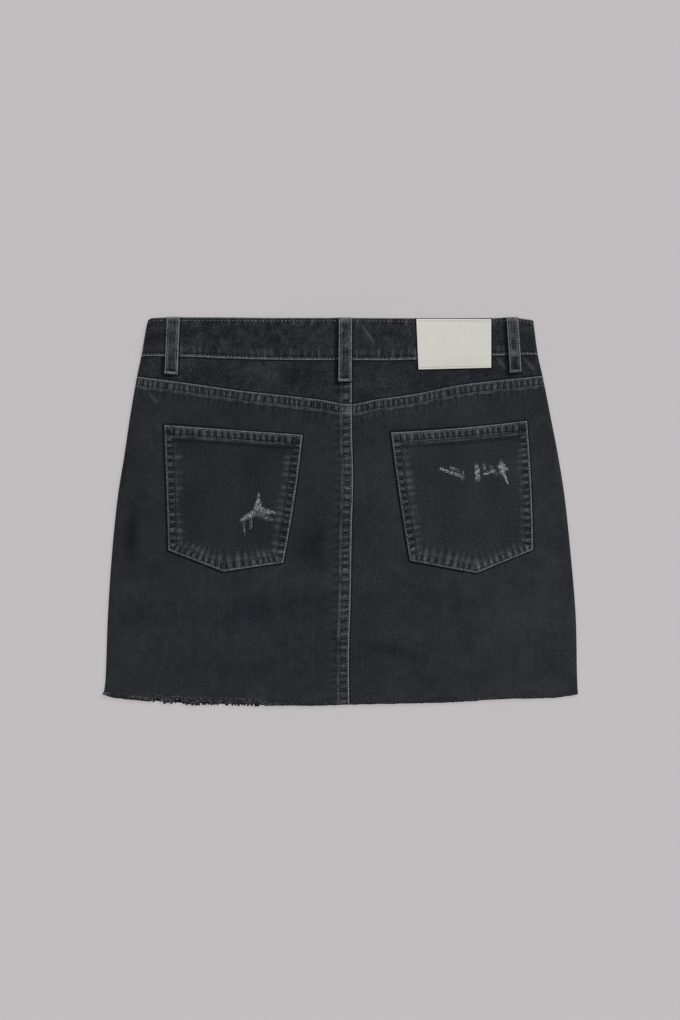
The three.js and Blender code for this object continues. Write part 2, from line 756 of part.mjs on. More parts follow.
// The label lies on the waistband and hangs a little over the yoke.
function label() {
  const rimAcross = LABEL.rim / (LABEL.right - LABEL.left);
  const rimUp = LABEL.rim / (LABEL.top - LABEL.bottom);
  const across = [0, ...evenly(rimAcross, 1 - rimAcross, 4), 1];
  const up = [0, ...evenly(rimUp, 1 - rimUp, 10), 1];
  const grid = (upper) =>
    up.map((v) =>
      across.map((u) => {
        const x = mix(LABEL.left, LABEL.right, u) + LABEL.lean * (1 - u) * (1 - v);
        const y = mix(LABEL.bottom - LABEL.sag * (1 - u), LABEL.top, v);
        const rest = highestUnder(x, y, 0, LABEL.clear) + SEAM;
        const rim = u === 0 || u === 1 || v === 0 || v === 1;
        return [x, y, upper ? rest + LABEL.thick - (rim ? LABEL.round : 0) : rest];
      }),
    );
  return mesh("label", wallGeometry(grid(true), grid(false)), "label");
}

function group(...members) {
  const made = new THREE.Group();
  made.add(...members);
  return made;
}

const back = group(
  ...["left", "right"].map(backPanel),
  ...["left", "right"].map(yoke),
  ...POCKETS.map(backPocket),
);
const front = group(...["left", "right"].map(frontPanel), zip());
const waist = group(
  waistband(),
  button(),
  label(),
  ...LOOPS.map(backLoop),
  ...FRONT_LOOPS.map(frontLoop),
);
const skirt = group(back, front, waist);

export default skirt;
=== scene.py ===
"""The looks of a black denim mini skirt that lies flat with its back up.

Tables and formulas are in millimetres until a mesh is made: x runs across the skirt, y from the hem to
the waist and z up from the table. Each cloth piece is a thin closed shell of two grids of points.
"""

import math

import bpy
import numpy as np
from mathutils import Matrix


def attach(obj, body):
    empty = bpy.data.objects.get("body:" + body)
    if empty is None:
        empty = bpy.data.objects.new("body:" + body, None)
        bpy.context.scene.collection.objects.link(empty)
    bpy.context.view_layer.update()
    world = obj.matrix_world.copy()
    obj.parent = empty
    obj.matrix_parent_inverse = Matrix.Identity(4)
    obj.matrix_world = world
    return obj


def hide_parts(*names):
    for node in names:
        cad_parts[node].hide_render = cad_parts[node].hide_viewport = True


bl_info = {
    "name": "Denim Skirt",
    "version": (1, 0, 0),
    "blender": (4, 5, 0),
    "location": "View3D > Sidebar > Skirt",
    "description": "Dresses the pieces of a flat-laid denim skirt",
    "category": "Add Mesh",
}

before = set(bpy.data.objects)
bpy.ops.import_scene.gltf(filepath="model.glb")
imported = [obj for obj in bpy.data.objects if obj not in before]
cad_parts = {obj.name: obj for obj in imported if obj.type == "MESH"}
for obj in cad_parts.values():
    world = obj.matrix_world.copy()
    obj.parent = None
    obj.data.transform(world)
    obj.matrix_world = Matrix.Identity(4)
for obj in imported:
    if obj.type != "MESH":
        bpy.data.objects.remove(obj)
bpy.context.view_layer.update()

MM = 0.001
BODY = "root"
FAR = 60.0  # a distance from any edge past which nothing is worn or painted shaded

# The stage, in metres and degrees
FLOOR_EMISSION = 0.908  # makes the floor's own light as bright as the lit floor
FLOOR_HALF = 6.0
FLOOR_DROP = -0.0004
CLOTH_LEVEL = 0.004  # where the picture is as tall as Frame Height
KEY_SPREAD = 28
KEY_TURNS = (-30, 34, 0)

DENIM = 1.2
BAND = 2.2
SEAM = 0.3
FELL = 12
FELL_ROWS = (2.0, 9.5)  # the two rows of stitches, in from the folded edge
FELL_RAISE = 0.9
SIDE_TURN = 4.0
FOLD_ROUND = 0.6  # radius of a folded edge
BACK_SPANS = {"left": 245, "right": 228}  # about how wide the panels are, for their grids
FRONT_SPANS = {"left": 245, "right": 241}
STITCH_RISE = np.array([-0.24, 0.12, 0.2, 0.12, -0.24])
STITCH_REACH = np.array([-0.3, -0.2, 0.0, 0.2, 0.3])


def table(columns, *rows):
    """The rows of a short table, as one array for each named column."""
    return dict(zip(columns.split(), np.array(rows, float).T))


SIDES = table(
    "y left right",
    (-184, -237, 237.6),
    (-166, -235.2, 236.7),
    (-106, -233, 235.4),
    (-46, -229.1, 230.6),
    (14, -223.1, 224.3),
    (54, -216.7, 218),
    (94, -210.8, 210.3),
    (134, -203.9, 202.4),
    (156, -199.3, 197.5),
    (184, -194.4, 193.6),
    (191, -192.6, 192.8),
)
HEM = table(
    "x y",
    (-237.4, -184),
    (-226, -186.7),
    (-186, -190.6),
    (-141, -193.4),
    (-30, -194.5),
    (5, -193.5),
    (67, -192.3),
    (120, -190.7),
    (162, -187.7),
    (213, -186.6),
    (237.4, -183.2),
)
YOKE_SEAM = table(
    "x y",
    (-204, 134.6),
    (-180, 131.6),
    (-145, 126.9),
    (-100, 120.5),
    (-60, 116),
    (-20, 111.2),
    (10, 106.9),
    (36, 111.6),
    (74, 117),
    (114, 125.2),
    (136, 128.4),
    (202, 135.3),
)
BAND_LOW = table(
    "x y",
    (-199.4, 155.4),
    (-150, 154.5),
    (-120, 153.1),
    (-80, 151.8),
    (-40, 151),
    (20, 150.8),
    (60, 151.1),
    (150, 155.5),
    (197.4, 156.9),
)
BAND_TOP = table(
    "x y",
    (-192.7, 191.3),
    (-187, 193.6),
    (-174, 194),
    (-110, 193.8),
    (-60, 193.2),
    (70, 192.9),
    (150, 193.1),
    (176, 193.8),
    (192.7, 190.8),
)
CENTRE_BACK = table(
    "y x",
    (-194, 8.6),
    (-140, 8.3),
    (-90, 9.9),
    (-20, 11),
    (31, 12.4),
    (75, 11.4),
    (154, 10.9),
)
LIE = table(
    "y side centre",
    (-194, 2.8, 0.6),
    (-60, 2.9, 1),
    (0, 3.1, 1.2),
    (50, 3.3, 2.1),
    (107, 3.6, 3.7),
    (155, 4, 5.6),
    (194, 4, 5.6),
)
LIE_SPREAD = 70
# The same large soft folds as the solids have
FOLDS = table(
    "x y long wide turn rise",
    (-70, -92, 75, 22, 8, -0.6),
    (75, -90, 80, 22, -10, -0.6),
    (-25, -66, 55, 20, 4, 0.5),
    (60, -128, 70, 24, -5, -0.5),
    (172, -130, 34, 48, 0, 0.6),
    (-208, -20, 22, 40, -14, -0.5),
    (-28, 62, 24, 30, -30, -0.4),
    (32, 74, 22, 28, 25, 0.4),
)
# Smaller creases: middle, half length, half width, turn in degrees, height
CREASES = table(
    "x y long wide turn rise",
    (161, 148, 8, 1.6, -52, 0.35),
    (189, 146, 9, 1.6, -52, 0.35),
    (29, 174, 12, 1.8, -55, 0.3),
    (-187, 113, 7, 1.5, -50, 0.3),
    (-75, 138, 12, 7, -20, 0.22),
    (-45, 134, 14, 9, 10, -0.22),
    (44, 133, 12, 8, 15, 0.16),
    (-29, -34, 12, 16, 0, -0.35),
    (44, -137, 26, 7, -12, -0.3),
    (-209, -21, 5, 22, -6, -0.3),
    (30, 96, 16, 2.2, 16, 0.22),
    (-60, 106, 18, 2.4, -12, 0.2),
    (-182, 84, 12, 2.2, -58, 0.25),
    (196, 86, 12, 2.2, 58, 0.22),
    (-66, -60, 14, 2.6, 30, 0.22),
    (204, -44, 12, 2.4, -35, 0.22),
    (-190, -48, 13, 2.4, 32, 0.22),
    (60, -60, 14, 2.6, -34, 0.22),
)
# Where the cloth is paler or darker than the rest over a wide area. Some rows are worn spots and pale
# crease lines; the rows over the large folds and creases are painted light and shade, paler on a
# ridge and darker in a trough, and the widest row is painted light that makes the right of the back paler.
TONES = table(
    "x y long wide turn rise",
    (-75, 137, 16, 9, -20, 0.05),
    (-46, 134, 14, 10, 0, -0.04),
    (44, 133, 15, 10, 0, 0.02),
    (-25, -70, 60, 12, 4, 0.06),
    (-60, -95, 60, 10, 6, -0.045),
    (90, -80, 55, 10, -16, -0.04),
    (171, -126, 40, 50, 0, 0.05),
    (-209, -21, 6, 28, -6, -0.06),
    (140, -20, 140, 160, 0, 0.05),
    (8.5, 101, 4, 6, 0, 0.9),
    (7.5, 131, 4, 5, 0, 0.25),
    (26.5, 178, 11, 0.8, -55, 0.5),
    (161, 148, 7, 1.1, -52, 0.3),
    (189, 146, 8, 1.1, -52, 0.3),
    (-187, 113, 6, 0.8, -50, 0.4),
    (-235, -182.9, 2.6, 1.3, 0, 0.7),
    (42, 172, 34, 16, 0, 0.025),
    (-184, 172, 11, 16, 0, 0.04),
    (208, -5, 14, 45, 0, 0.03),
    (-22, 105.5, 20, 5, -7, -0.11),
    (36, 105, 20, 5, 9, -0.11),
    (60, -187, 130, 9, 0, 0.045),
    (212, -178, 20, 14, 0, 0.08),
)

FRONT_DIP = 10
FRONT_DIP_REACH = 190
FRONT_HEM_SHORTER = 1
LAP_LEFT_EDGE = 8
LAP_RIGHT_EDGE = -4
LAP_RISE = DENIM + 0.4
FRONT_CLEAR = 0.14  # how far the front's faces are over the table, so that its stitches show
LAP_FLAT = 11.5
LAP_END = 36
FLY_WIDE = 36
FLY_END = 44  # just below the zip's lower end
FLY_FADE = 75
FLY_ROW = 1.6  # the fly's outer row of stitches, in from the lap's edge
BAND_TO_FRONT = 0.5
BAND_ROW_LOW = 1.9  # the waistband's rows of stitches, in from its edges
BAND_ROW_TOP = 3.2
OUTER_END = 20
INNER_END = -18
BAND_RAMP = 66
OUTER_FLAT = -15
INNER_FLAT = 24
BAND_STRAIGHT = 172
OUTER_Z = 2.5
INNER_Z = 5.0
FRONT_LOOPS = {"belt_loop_front_left": -104, "belt_loop_front_right": 104}
FRONT_LOOP_HELD = 1.9
FRONT_LOOP_FLAT = 9
FRONT_LOOP_FADE = 24
FRONT_LOOP_WIDE = 13
FRONT_LOOP_LONG = 56

BUTTON_X = 4
BUTTONHOLE_END = -11
BUTTONHOLE_HALF = 0.8
SHANK_HOLE = 2.8
BAND_MIDDLE = 170.0  # about the middle of the waistband, where the working out of its sides starts
HEM_CORNER = (-237.4, -184.2)  # the corner that curls

LOOPS = {
    "belt_loop_back_left": {"x": -167, "lean": -2.3, "top": 194.2, "foot": 137, "wide": 12.9, "tilt": 1},
    "belt_loop_back_centre": {"x": 4.8, "lean": -0.5, "top": 193.2, "foot": 129.4, "wide": 13, "tilt": 0},
    "belt_loop_back_right": {"x": 171.3, "lean": 3.7, "top": 194, "foot": 138.8, "wide": 11.5, "tilt": -1.1},
}
LOOP_CLOTH = 1.6
LOOP_TURNED = 1.0
LOOP_TURNED_LONG = 8
LOOP_STEP = 1.2
LOOP_CLEAR = 2.5
LOOP_SHADE = 2.8  # how much wider the painted shadow is on a loop's left, away from the key light

POCKETS = {
    "back_pocket_left": {
        "top": (-176.2, 86.1, -38.1, 76.2),
        "bottom": (-172.1, -38.9, -57.5, -51.2),
        "point": (-117.3, -60.1),
        "bow": (0.2, 1.6),
        "sag": 0,
        "hem": 11.3,
        "halo": (12, 12),
        "tone": -0.023,
        "fuzz": 0.1,
        "seed": 71,
    },
    "back_pocket_right": {
        "top": (50.5, 78.7, 186.1, 90.4),
        "bottom": (69.5, -49.3, 192.3, -38.4),
        "point": (135.8, -61.7),
        "bow": (-1, 1.2),
        "sag": 1.5,
        "hem": 12.2,
        "halo": (12, 8),
        "tone": 0.041,
        "fuzz": 0.16,
        "seed": 91,
    },
}
POCKET_OFF = 0.45
POCKET_PUFF = 0.7
POCKET_RISE = 42
POCKET_HEM_ROW = 9.4
POCKET_HEM_RAISE = 0.6
POCKET_BORDER = 9
POCKET_BORDER_RAISE = 0.4
POCKET_ROWS = (1.6, 7.4)  # the border's rows of stitches, in from its edge

LABEL = {
    "left": 75.5,
    "right": 150.4,
    "top": 192,
    "bottom": 143.4,
    "lean": 2.2,
    "sag": 1.8,
    "thick": 1.0,
}
LABEL_SLOPE = 14
LABEL_ROW = 1.9  # its rows of stitches, in from its upper and lower edges

# Distances in from a sewn edge at which a grid has lines
SEAM_LINES = np.array(
    [0, 0.25, 0.5, 0.8, 1.2, 1.6, 2.1]
    + [2.8, 3.6, 4.4, 5.2, 6, 6.8, 7.6, 8.4]
    + [9, 9.5, 10, 10.5, 11, 11.5, 12, 12.6, 13.4, 14.5, 16, 18]
)
EDGE_LINES = np.array([0, 0.25, 0.5, 0.8, 1.2, 1.8, 2.6, 3.6, 4.8, 6.2])
LAP_LINES = np.array([0, 2, 4, 6, 8, 10, 12, 14, 15.5, 18, 21, 24, 27, 30, 33, 36, 40])
HEM_LINES = np.array([0, 0.5, 1.1, 1.9, 3, 4.4, 6])
ONE_LINE = np.array([0.0])


def mix(a, b, t):
    """The value that is t of the way from a to b."""
    return a + (b - a) * t


def smooth(t):
    """An eased step: 0 below 0, 1 above 1, and 3t² - 2t³ between."""
    t = np.clip(t, 0, 1)
    return t * t * (3 - 2 * t)


def layer(distance, width, step=0.9):
    """How much of a layer is left, by the distance in from its edge: an eased step past its width."""
    return smooth((width + step - distance) / step)


def ridge(distance, middle, width):
    """A bell 1 high at the middle: e to the power of minus the squared distance in widths."""
    return np.exp(-(((distance - middle) / width) ** 2))


def curve(rows, across, value):
    """A function through a table's points: in each span a cubic with its neighbours' mean slopes."""
    t, v = rows[across], rows[value]
    before = np.maximum(np.arange(len(t)) - 1, 0)
    after = np.minimum(np.arange(len(t)) + 1, len(t) - 1)
    slope = (v[after] - v[before]) / (t[after] - t[before])

    def at(s):
        s = np.clip(s, t[0], t[-1])
        i = np.clip(np.searchsorted(t, s, side="right") - 1, 0, len(t) - 2)
        width = t[i + 1] - t[i]
        q = (s - t[i]) / width
        rise = (v[i + 1] - v[i]) * q * q * (3 - 2 * q)
        lean = slope[i] * (1 - q) ** 2 * q - slope[i + 1] * q * q * (1 - q)
        return v[i] + rise + width * lean

    return at


left_side = curve(SIDES, "y", "left")
right_side = curve(SIDES, "y", "right")
hem_line = curve(HEM, "x", "y")
yoke_seam = curve(YOKE_SEAM, "x", "y")
band_low = curve(BAND_LOW, "x", "y")
band_top = curve(BAND_TOP, "x", "y")
centre_back = curve(CENTRE_BACK, "y", "x")
side_lie = curve(LIE, "y", "side")
centre_lie = curve(LIE, "y", "centre")


def hills(rows, x, y):
    """The sum of a table's long rounded hills: each is a bell along its turned length and width."""
    total = np.zeros(np.broadcast(x, y).shape)
    for place_x, place_y, long, wide, turn, rise in zip(*rows.values()):
        angle = math.radians(turn)
        along = (x - place_x) * math.cos(angle) + (y - place_y) * math.sin(angle)
        across = (y - place_y) * math.cos(angle) - (x - place_x) * math.sin(angle)
        total = total + rise * np.exp(-((along / long) ** 2) - (across / wide) ** 2)
    return total


def cloud(x, y, size, seed):
    """Smooth random values from -1 to 1: random numbers on a lattice this wide, eased between."""
    lattice = np.random.default_rng(seed).uniform(-1, 1, (101, 101))
    u, v = np.broadcast_arrays(x / size, y / size)
    i, j = np.floor(u).astype(int), np.floor(v).astype(int)
    p, q = smooth(u - i), smooth(v - j)

    def at(a, b):
        return lattice[a % 101, b % 101]

    return mix(mix(at(i, j), at(i + 1, j), p), mix(at(i, j + 1), at(i + 1, j + 1), p), q)


def pucker_count(along, across, spacing, seed):
    """A running count of a seam's puckers: its length in spacings, which then wanders and leans."""
    wander = 0.35 * cloud(along, 0 * along, spacing * 2.3, seed)
    lean = across / spacing * 0.22 * cloud(along, 0 * along, 29, seed + 1)
    return along / spacing + wander + lean


def wave(count):
    """A cosine that is highest on each pucker."""
    return np.cos(2 * np.pi * count)


def inside(x, y):
    """How high the back's inner face lies: a table's heights, a bell over the fly, and the folds."""
    return side_lie(y) + centre_lie(y) * np.exp(-((x / LIE_SPREAD) ** 2)) + hills(FOLDS, x, y)


def rounded(distance):
    """How much lower a folded edge is, by the distance in from it: a quarter circle."""
    inward = np.clip(1 - distance / FOLD_ROUND, 0, 1)
    return FOLD_ROUND * (1 - np.sqrt(1 - inward**2))


class Marks:
    """What a point of cloth shows, as arrays over the grid.

    height is over the plain cloth, pale is how much paler it is, mostly from fading and in places from
    painted light and shade, and fuzz is how frayed it is. edge is the distance in from the nearest worn
    edge, and the shade distance is the distance out from the nearest edge that lies over this piece, by
    which shade is painted beside that edge. count counts the puckers along the nearest seam, and bars is
    how far they show.
    """

    NAMES = ("height", "pale", "fuzz", "edge", "groove", "count", "bars")

    def __init__(self, shape):
        for name in self.NAMES:
            setattr(self, name, np.full(shape, FAR if name in ("edge", "groove") else 0.0))
        self.reach = np.full(shape, np.inf)

    def edge_at(self, distance):
        self.edge = np.minimum(self.edge, np.clip(distance, 0, FAR))

    def shade_at(self, distance):
        self.groove = np.minimum(self.groove, np.clip(distance, 0, FAR))

    def sewn(self, distance, count, bars):
        """Takes this seam's puckers wherever no other seam is nearer."""
        near = distance < self.reach
        self.count = np.where(near, count, self.count)
        self.bars = np.where(near, bars, self.bars)
        self.reach = np.where(near, distance, self.reach)


def felled(marks, distance, along, spacing, seed, depth, plain=0.0, rubbed=-0.05):
    """A felled seam, by the distance in from its folded edge.

    It is two layers higher up to its width, dips along its two rows of stitches, and is puckered
    across, most between the rows and a little past them. plain is how evenly worn it is beside the
    second row, and rubbed how pale the folded edge is.
    """
    count = pucker_count(along, distance, spacing, seed)
    body = layer(distance, FELL) * (distance > -1)
    rows = ridge(distance, FELL_ROWS[0], 0.6) + 0.5 * ridge(distance, FELL_ROWS[1] - 1.1, 0.5)
    sewn = smooth(distance / 1.2) * smooth((FELL + 0.6 - distance) / 1.2)
    tail = smooth((distance - FELL) / 1.5) * smooth((FELL + 10 - distance) / 10)
    height = FELL_RAISE * body + depth * wave(count) * (0.8 * sewn + 0.4 * tail) - 0.12 * rows * body
    marks.height = np.maximum(marks.height, height)
    marks.sewn(distance, count, smooth((distance - 0.9) / 0.9) * ridge(distance, 5.4, 3.6))
    beside_row = plain * ridge(distance, 9.2, 2.4)
    rim = ridge(distance, FELL - 0.8, 0.7)
    patchy = 0.6 + 0.8 * cloud(along, distance, 5, seed + 7)
    folded = rubbed * ridge(distance, 0.2, 0.7)
    marks.pale += (0.12 * beside_row + 0.55 * rim) * patchy + 0.1 * tail * wave(count)
    marks.pale += (folded - 0.36 * rows) * (distance > -0.5) - (0.01 + 0.03 * plain) * body
    marks.edge_at(distance)


def pocket_outline(pocket):
    """The corners of a pocket, from its top left one round by its bottom point, with bowed sides."""
    top_left_x, top_left_y, top_right_x, top_right_y = pocket["top"]
    low_left_x, low_left_y, low_right_x, low_right_y = pocket["bottom"]
    left_bow, right_bow = pocket["bow"]
    t = np.linspace(0, 1, 9)
    bulge = 4 * t * (1 - t)
    left = np.stack(
        [mix(top_left_x, low_left_x, t) + left_bow * bulge, mix(top_left_y, low_left_y, t)], 1
    )
    right = np.stack(
        [mix(low_right_x, top_right_x, t) + right_bow * bulge, mix(low_right_y, top_right_y, t)], 1
    )
    return np.concatenate([left, [pocket["point"]], right])


def pocket_top(pocket):
    """A pocket's top edge from left to right, which sags."""
    left_x, left_y, right_x, right_y = pocket["top"]
    t = np.linspace(0, 1, 9)
    y = mix(left_y, right_y, t) - pocket["sag"] * 4 * t * (1 - t)
    return np.stack([mix(left_x, right_x, t), y], 1)


def distance_to(path, x, y, closed=False):
    """The distance from points to a path of straight stretches, and how far along it the nearest is."""
    ends = np.concatenate([path, path[:1]]) if closed else path
    nearest = np.full(np.shape(x), np.inf)
    along = np.zeros(np.shape(x))
    start = 0.0
    for (ax, ay), (bx, by) in zip(ends[:-1], ends[1:]):
        length = math.hypot(bx - ax, by - ay)
        t = np.clip(((x - ax) * (bx - ax) + (y - ay) * (by - ay)) / length**2, 0, 1)
        distance = np.hypot(x - mix(ax, bx, t), y - mix(ay, by, t))
        along = np.where(distance < nearest, start + t * length, along)
        nearest = np.minimum(nearest, distance)
        start += length
    return nearest, along


def within(path, x, y):
    """Whether points are inside a closed path: each side crossed on the way right turns the answer."""
    found = np.zeros(np.shape(x), bool)
    for (ax, ay), (bx, by) in zip(path, np.roll(path, -1, axis=0)):
        if ay == by:
            continue
        crossing_x = ax + (y - ay) * (bx - ax) / (by - ay)
        found ^= ((ay > y) != (by > y)) & (x < crossing_x)
    return found


def loop_outline(loop):
    """The four corners of a belt loop on the back."""
    x, half, drop = loop["x"], loop["wide"] / 2, loop["tilt"] / 2
    foot_x = x + loop["lean"]
    return np.array(
        [
            (x - half, loop["top"]),
            (foot_x - half, loop["foot"] + drop),
            (foot_x + half, loop["foot"] - drop),
            (x + half, loop["top"]),
        ]
    )


LABEL_OUTLINE = np.array(
    [
        (LABEL["left"], LABEL["top"]),
        (LABEL["left"] + LABEL["lean"], LABEL["bottom"] - LABEL["sag"]),
        (LABEL["right"], LABEL["bottom"]),
        (LABEL["right"], LABEL["top"]),
    ]
)


def common_marks(marks, x, y, seed=31):
    """Creases, wide tones and a fine unevenness, which every panel has; the tones and the creases' colour are
    partly painted light and shade.
    """
    creases = hills(CREASES, x, y)
    marks.height += creases + 0.1 * cloud(x, y, 21, seed) + 0.05 * cloud(x, y, 8, seed + 1)
    # Painted light and shade: the creases' heights make the cloth paler on their ridges and darker in their
    # troughs
    marks.pale += 0.35 * creases + hills(TONES, x, y)
    marks.pale += 0.035 * cloud(x, y, 26, seed + 2) + 0.035 * cloud(x, y, 7, seed + 3)


def shaded_by(marks, outline, x, y, left_spread=1.0):
    """Painted shade beside a piece that lies on this one, widened by the spread on its left as a painted
    shadow of the light from the right.
    """
    distance, _ = distance_to(outline, x, y, closed=True)
    spread = np.where(x < outline[:, 0].mean(), left_spread, 1.0)
    marks.shade_at(np.where(within(outline, x, y), 0, distance / spread))


def centre_seam(marks, side, x, y, sewing, plain):
    """The centre back seam: felled on the left piece, and painted shade beside it on the right one."""
    if side == "left":
        felled(marks, centre_back(y) - x, y, 7.6, 23, sewing.pucker_height / MM, plain, rubbed=0.6)
    else:
        marks.shade_at(x - centre_back(y))


def panel_marks(side, x, y, sewing):
    """A back panel: the felled seams under the yoke and at the centre, painted shade round the pockets, and
    the frayed hem with painted shade along it.
    """
    marks = Marks(np.broadcast(x, y).shape)
    felled(marks, yoke_seam(x) - y, x, 6.1, 11, sewing.pucker_height / MM)
    centre_seam(marks, side, x, y, sewing, 1.0)
    for pocket in POCKETS.values():
        outline = np.concatenate([pocket_outline(pocket), pocket_top(pocket)[-2:0:-1]])
        shaded_by(marks, outline, x, y, 1.5)
    from_hem = y - hem_line(x)
    near_hem = smooth((8 - from_hem) / 6) * (0.35 + 0.65 * ragged(x))
    marks.fuzz = np.maximum(near_hem, 0.04 + 0.06 * np.exp(-((x / 60) ** 2)))
    marks.height -= 0.5 * smooth((1.5 - from_hem) / 1.5)
    # Painted shade along the raw hem, which fades out where it is ragged
    marks.shade_at(np.maximum(from_hem, 0) + 1.0 + 3 * ragged(x))
    common_marks(marks, x, y)
    return marks


def shaded_by_trims(marks, x, y):
    """Painted shade beside the belt loops and the label, wider on the loops' left."""
    for loop in LOOPS.values():
        shaded_by(marks, loop_outline(loop), x, y, LOOP_SHADE)
    shaded_by(marks, LABEL_OUTLINE, x, y)


def yoke_marks(side, x, y, sewing):
    """A yoke: the centre back seam, a mottled fade, and painted shade beside what lies over it."""
    marks = Marks(np.broadcast(x, y).shape)
    centre_seam(marks, side, x, y, sewing, 0.3)
    marks.fuzz += 0.26
    marks.pale += 0.06 * cloud(x, y, 5.5, 35) + 0.05 * cloud(x, y, 3, 36)
    marks.pale += 0.012 if side == "left" else -0.018
    marks.shade_at(y - yoke_seam(x))
    marks.shade_at(band_low(x) - y)
    shaded_by_trims(marks, x, y)
    common_marks(marks, x, y)
    return marks


def band_marks(from_low, from_top, along, sewing, seed=41):
    """The waistband's puckers: wide ones under its top edge, closer ones over its lower edge."""
    marks = Marks(np.broadcast(from_low, along).shape)
    high = pucker_count(along, from_top, 9.5, seed)
    low = pucker_count(along, from_low, 7.4, seed + 4)
    top_zone = smooth((9 - from_top) / 3)
    low_zone = smooth((12.5 - from_low) / 4)
    high_ridges, low_ridges = (
        (0.5 + 0.5 * wave(count)) ** 3 * (0.6 + 0.7 * cloud(np.round(count), 0 * count, 1, seed + 6))
        for count in (high, low)
    )
    marks.height = sewing.pucker_height / MM * (wave(high) * top_zone + wave(low) * low_zone)
    marks.height -= 0.1 * (ridge(from_top, BAND_ROW_TOP, 0.5) + ridge(from_low, BAND_ROW_LOW, 0.5))
    marks.pale = (0.3 * high_ridges - 0.03) * top_zone + (0.32 * low_ridges + 0.02) * low_zone + 0.012
    marks.pale += 0.08 * (cloud(along, from_low, 7, seed + 8) + cloud(along, from_low, 3.4, seed + 9))
    marks.pale += 0.05 * cloud(along, 0.3 * from_low, 1.9, seed + 10)
    marks.pale += 0.25 * ridge(from_low, 0.3, 0.6)
    marks.pale -= 0.3 * (ridge(from_low, BAND_ROW_LOW, 0.6) + ridge(from_low, 3.5, 1))
    marks.pale += 0.3 * ridge(from_top, 0.3, 0.8) - 0.2 * ridge(from_top, 2.2, 0.6)
    marks.fuzz += 0.26
    marks.sewn(from_low, 3 * low, 0.5 * smooth((5 - from_low) / 2))
    marks.sewn(from_top, 3 * high, 0.4 * smooth((4 - from_top) / 2))
    marks.edge_at(from_low)
    marks.edge_at(from_top + 0.4)
    return marks


def back_band_marks(x, y, sewing):
    """The waistband across the back, with painted shade beside the loops and the label."""
    marks = band_marks(y - band_low(x), band_top(x) - y, x, sewing)
    shaded_by_trims(marks, x, y)
    common_marks(marks, x, y)
    return marks


def back_surface(x, y, sewing):
    """The height of the back's outer face under a trim or a thread."""
    x, y = np.broadcast_arrays(x, y)
    left = x < centre_back(y) + SEAM / 2
    on_band = y > band_low(x) - SEAM / 2
    on_yoke = ~on_band & (y > yoke_seam(x))
    height = np.where(on_band, BAND - DENIM, 0.0)
    pieces = [
        (on_band, back_band_marks(x, y, sewing)),
        (on_yoke & left, yoke_marks("left", x, y, sewing)),
        (on_yoke & ~left, yoke_marks("right", x, y, sewing)),
        (~on_band & ~on_yoke & left, panel_marks("left", x, y, sewing)),
        (~on_band & ~on_yoke & ~left, panel_marks("right", x, y, sewing)),
    ]
    for chosen, marks in pieces:
        height = height + np.where(chosen, marks.height, 0.0)
    flat = inside(x, y) + DENIM + height
    from_side = np.minimum(x - left_side(y), right_side(y) - x)
    turned = np.sqrt(1 - (1 - np.clip(from_side / SIDE_TURN, 0, 1)) ** 2)
    return mix((side_lie(y) + DENIM) / 2, flat, turned)


def plain_height(x, y):
    """The back's outer face without creases or puckers, on which loops and the label rest."""
    on_band = y > band_low(x) - SEAM
    below_yoke = yoke_seam(x) - y
    from_centre = centre_back(y) - x
    seam = layer(below_yoke, FELL, 0.6) * (below_yoke >= 0)
    centre = layer(from_centre, FELL, 0.6) * (from_centre >= -SEAM)
    raised = np.where(on_band, BAND - DENIM, FELL_RAISE * np.maximum(seam, centre))
    return inside(x, y) + DENIM + raised


def highest_under(x, y, reach_x, reach_y):
    """The highest plain point within a small reach, so that a strip clears the steps under it."""
    around = [
        plain_height(x + dx, y + dy)
        for dx in (-reach_x, 0, reach_x)
        for dy in (-reach_y, 0, reach_y)
    ]
    return np.max(around, axis=0)


# The front, under the back


def loop_lift(x):
    """How far the front belt loops hold the front up: an eased step down from each of them."""
    lift = np.zeros(np.shape(x))
    for loop_x in FRONT_LOOPS.values():
        past = np.abs(x - loop_x) - FRONT_LOOP_FLAT
        lift = lift + FRONT_LOOP_HELD * (1 - smooth(past / FRONT_LOOP_FADE))
    return lift


def outer_end(x):
    """The outer face of the buttonhole end: raised over the button's head, eased to the table."""
    return OUTER_Z * (1 - smooth((OUTER_FLAT - x) / BAND_RAMP)) + loop_lift(x)


def inner_end(x):
    """The outer face of the button end, raised over the buttonhole end and eased to the table."""
    return INNER_Z * (1 - smooth((x - INNER_FLAT) / BAND_RAMP)) + loop_lift(x)


def front_dip(x):
    """How much lower the waist is in front: a parabola."""
    return FRONT_DIP * np.maximum(0, 1 - (x / FRONT_DIP_REACH) ** 2)


def front_waist(x):
    """The front panels' upper edge: the back's, dipped and less the seam's gap."""
    return band_low(x) - front_dip(x) - SEAM


def below_band(x, y):
    """How far the waistband still lifts the front: an eased fall from 1 at the waist."""
    return smooth(1 - (front_waist(x) - y) / FLY_FADE)


def front_face(side, x, y):
    """The outer face of a front panel: on the table, lifted at the waist and where it laps."""
    if side == "left":
        return (outer_end(x) + BAND_TO_FRONT) * below_band(x, y)
    lap = LAP_RISE * (1 - smooth((x - LAP_FLAT) / (LAP_END - LAP_FLAT)))
    return mix(lap, inner_end(x) + BAND_TO_FRONT, below_band(x, y))


def pressed_row(path, face, sewing):
    """A row of stitches on a face that looks down, pressed no lower than the table."""
    row = stitch_row(path, face, sewing, facing=-1)
    row[..., 2] = np.maximum(row[..., 2], sewing.thread_width / MM / 2)
    return row


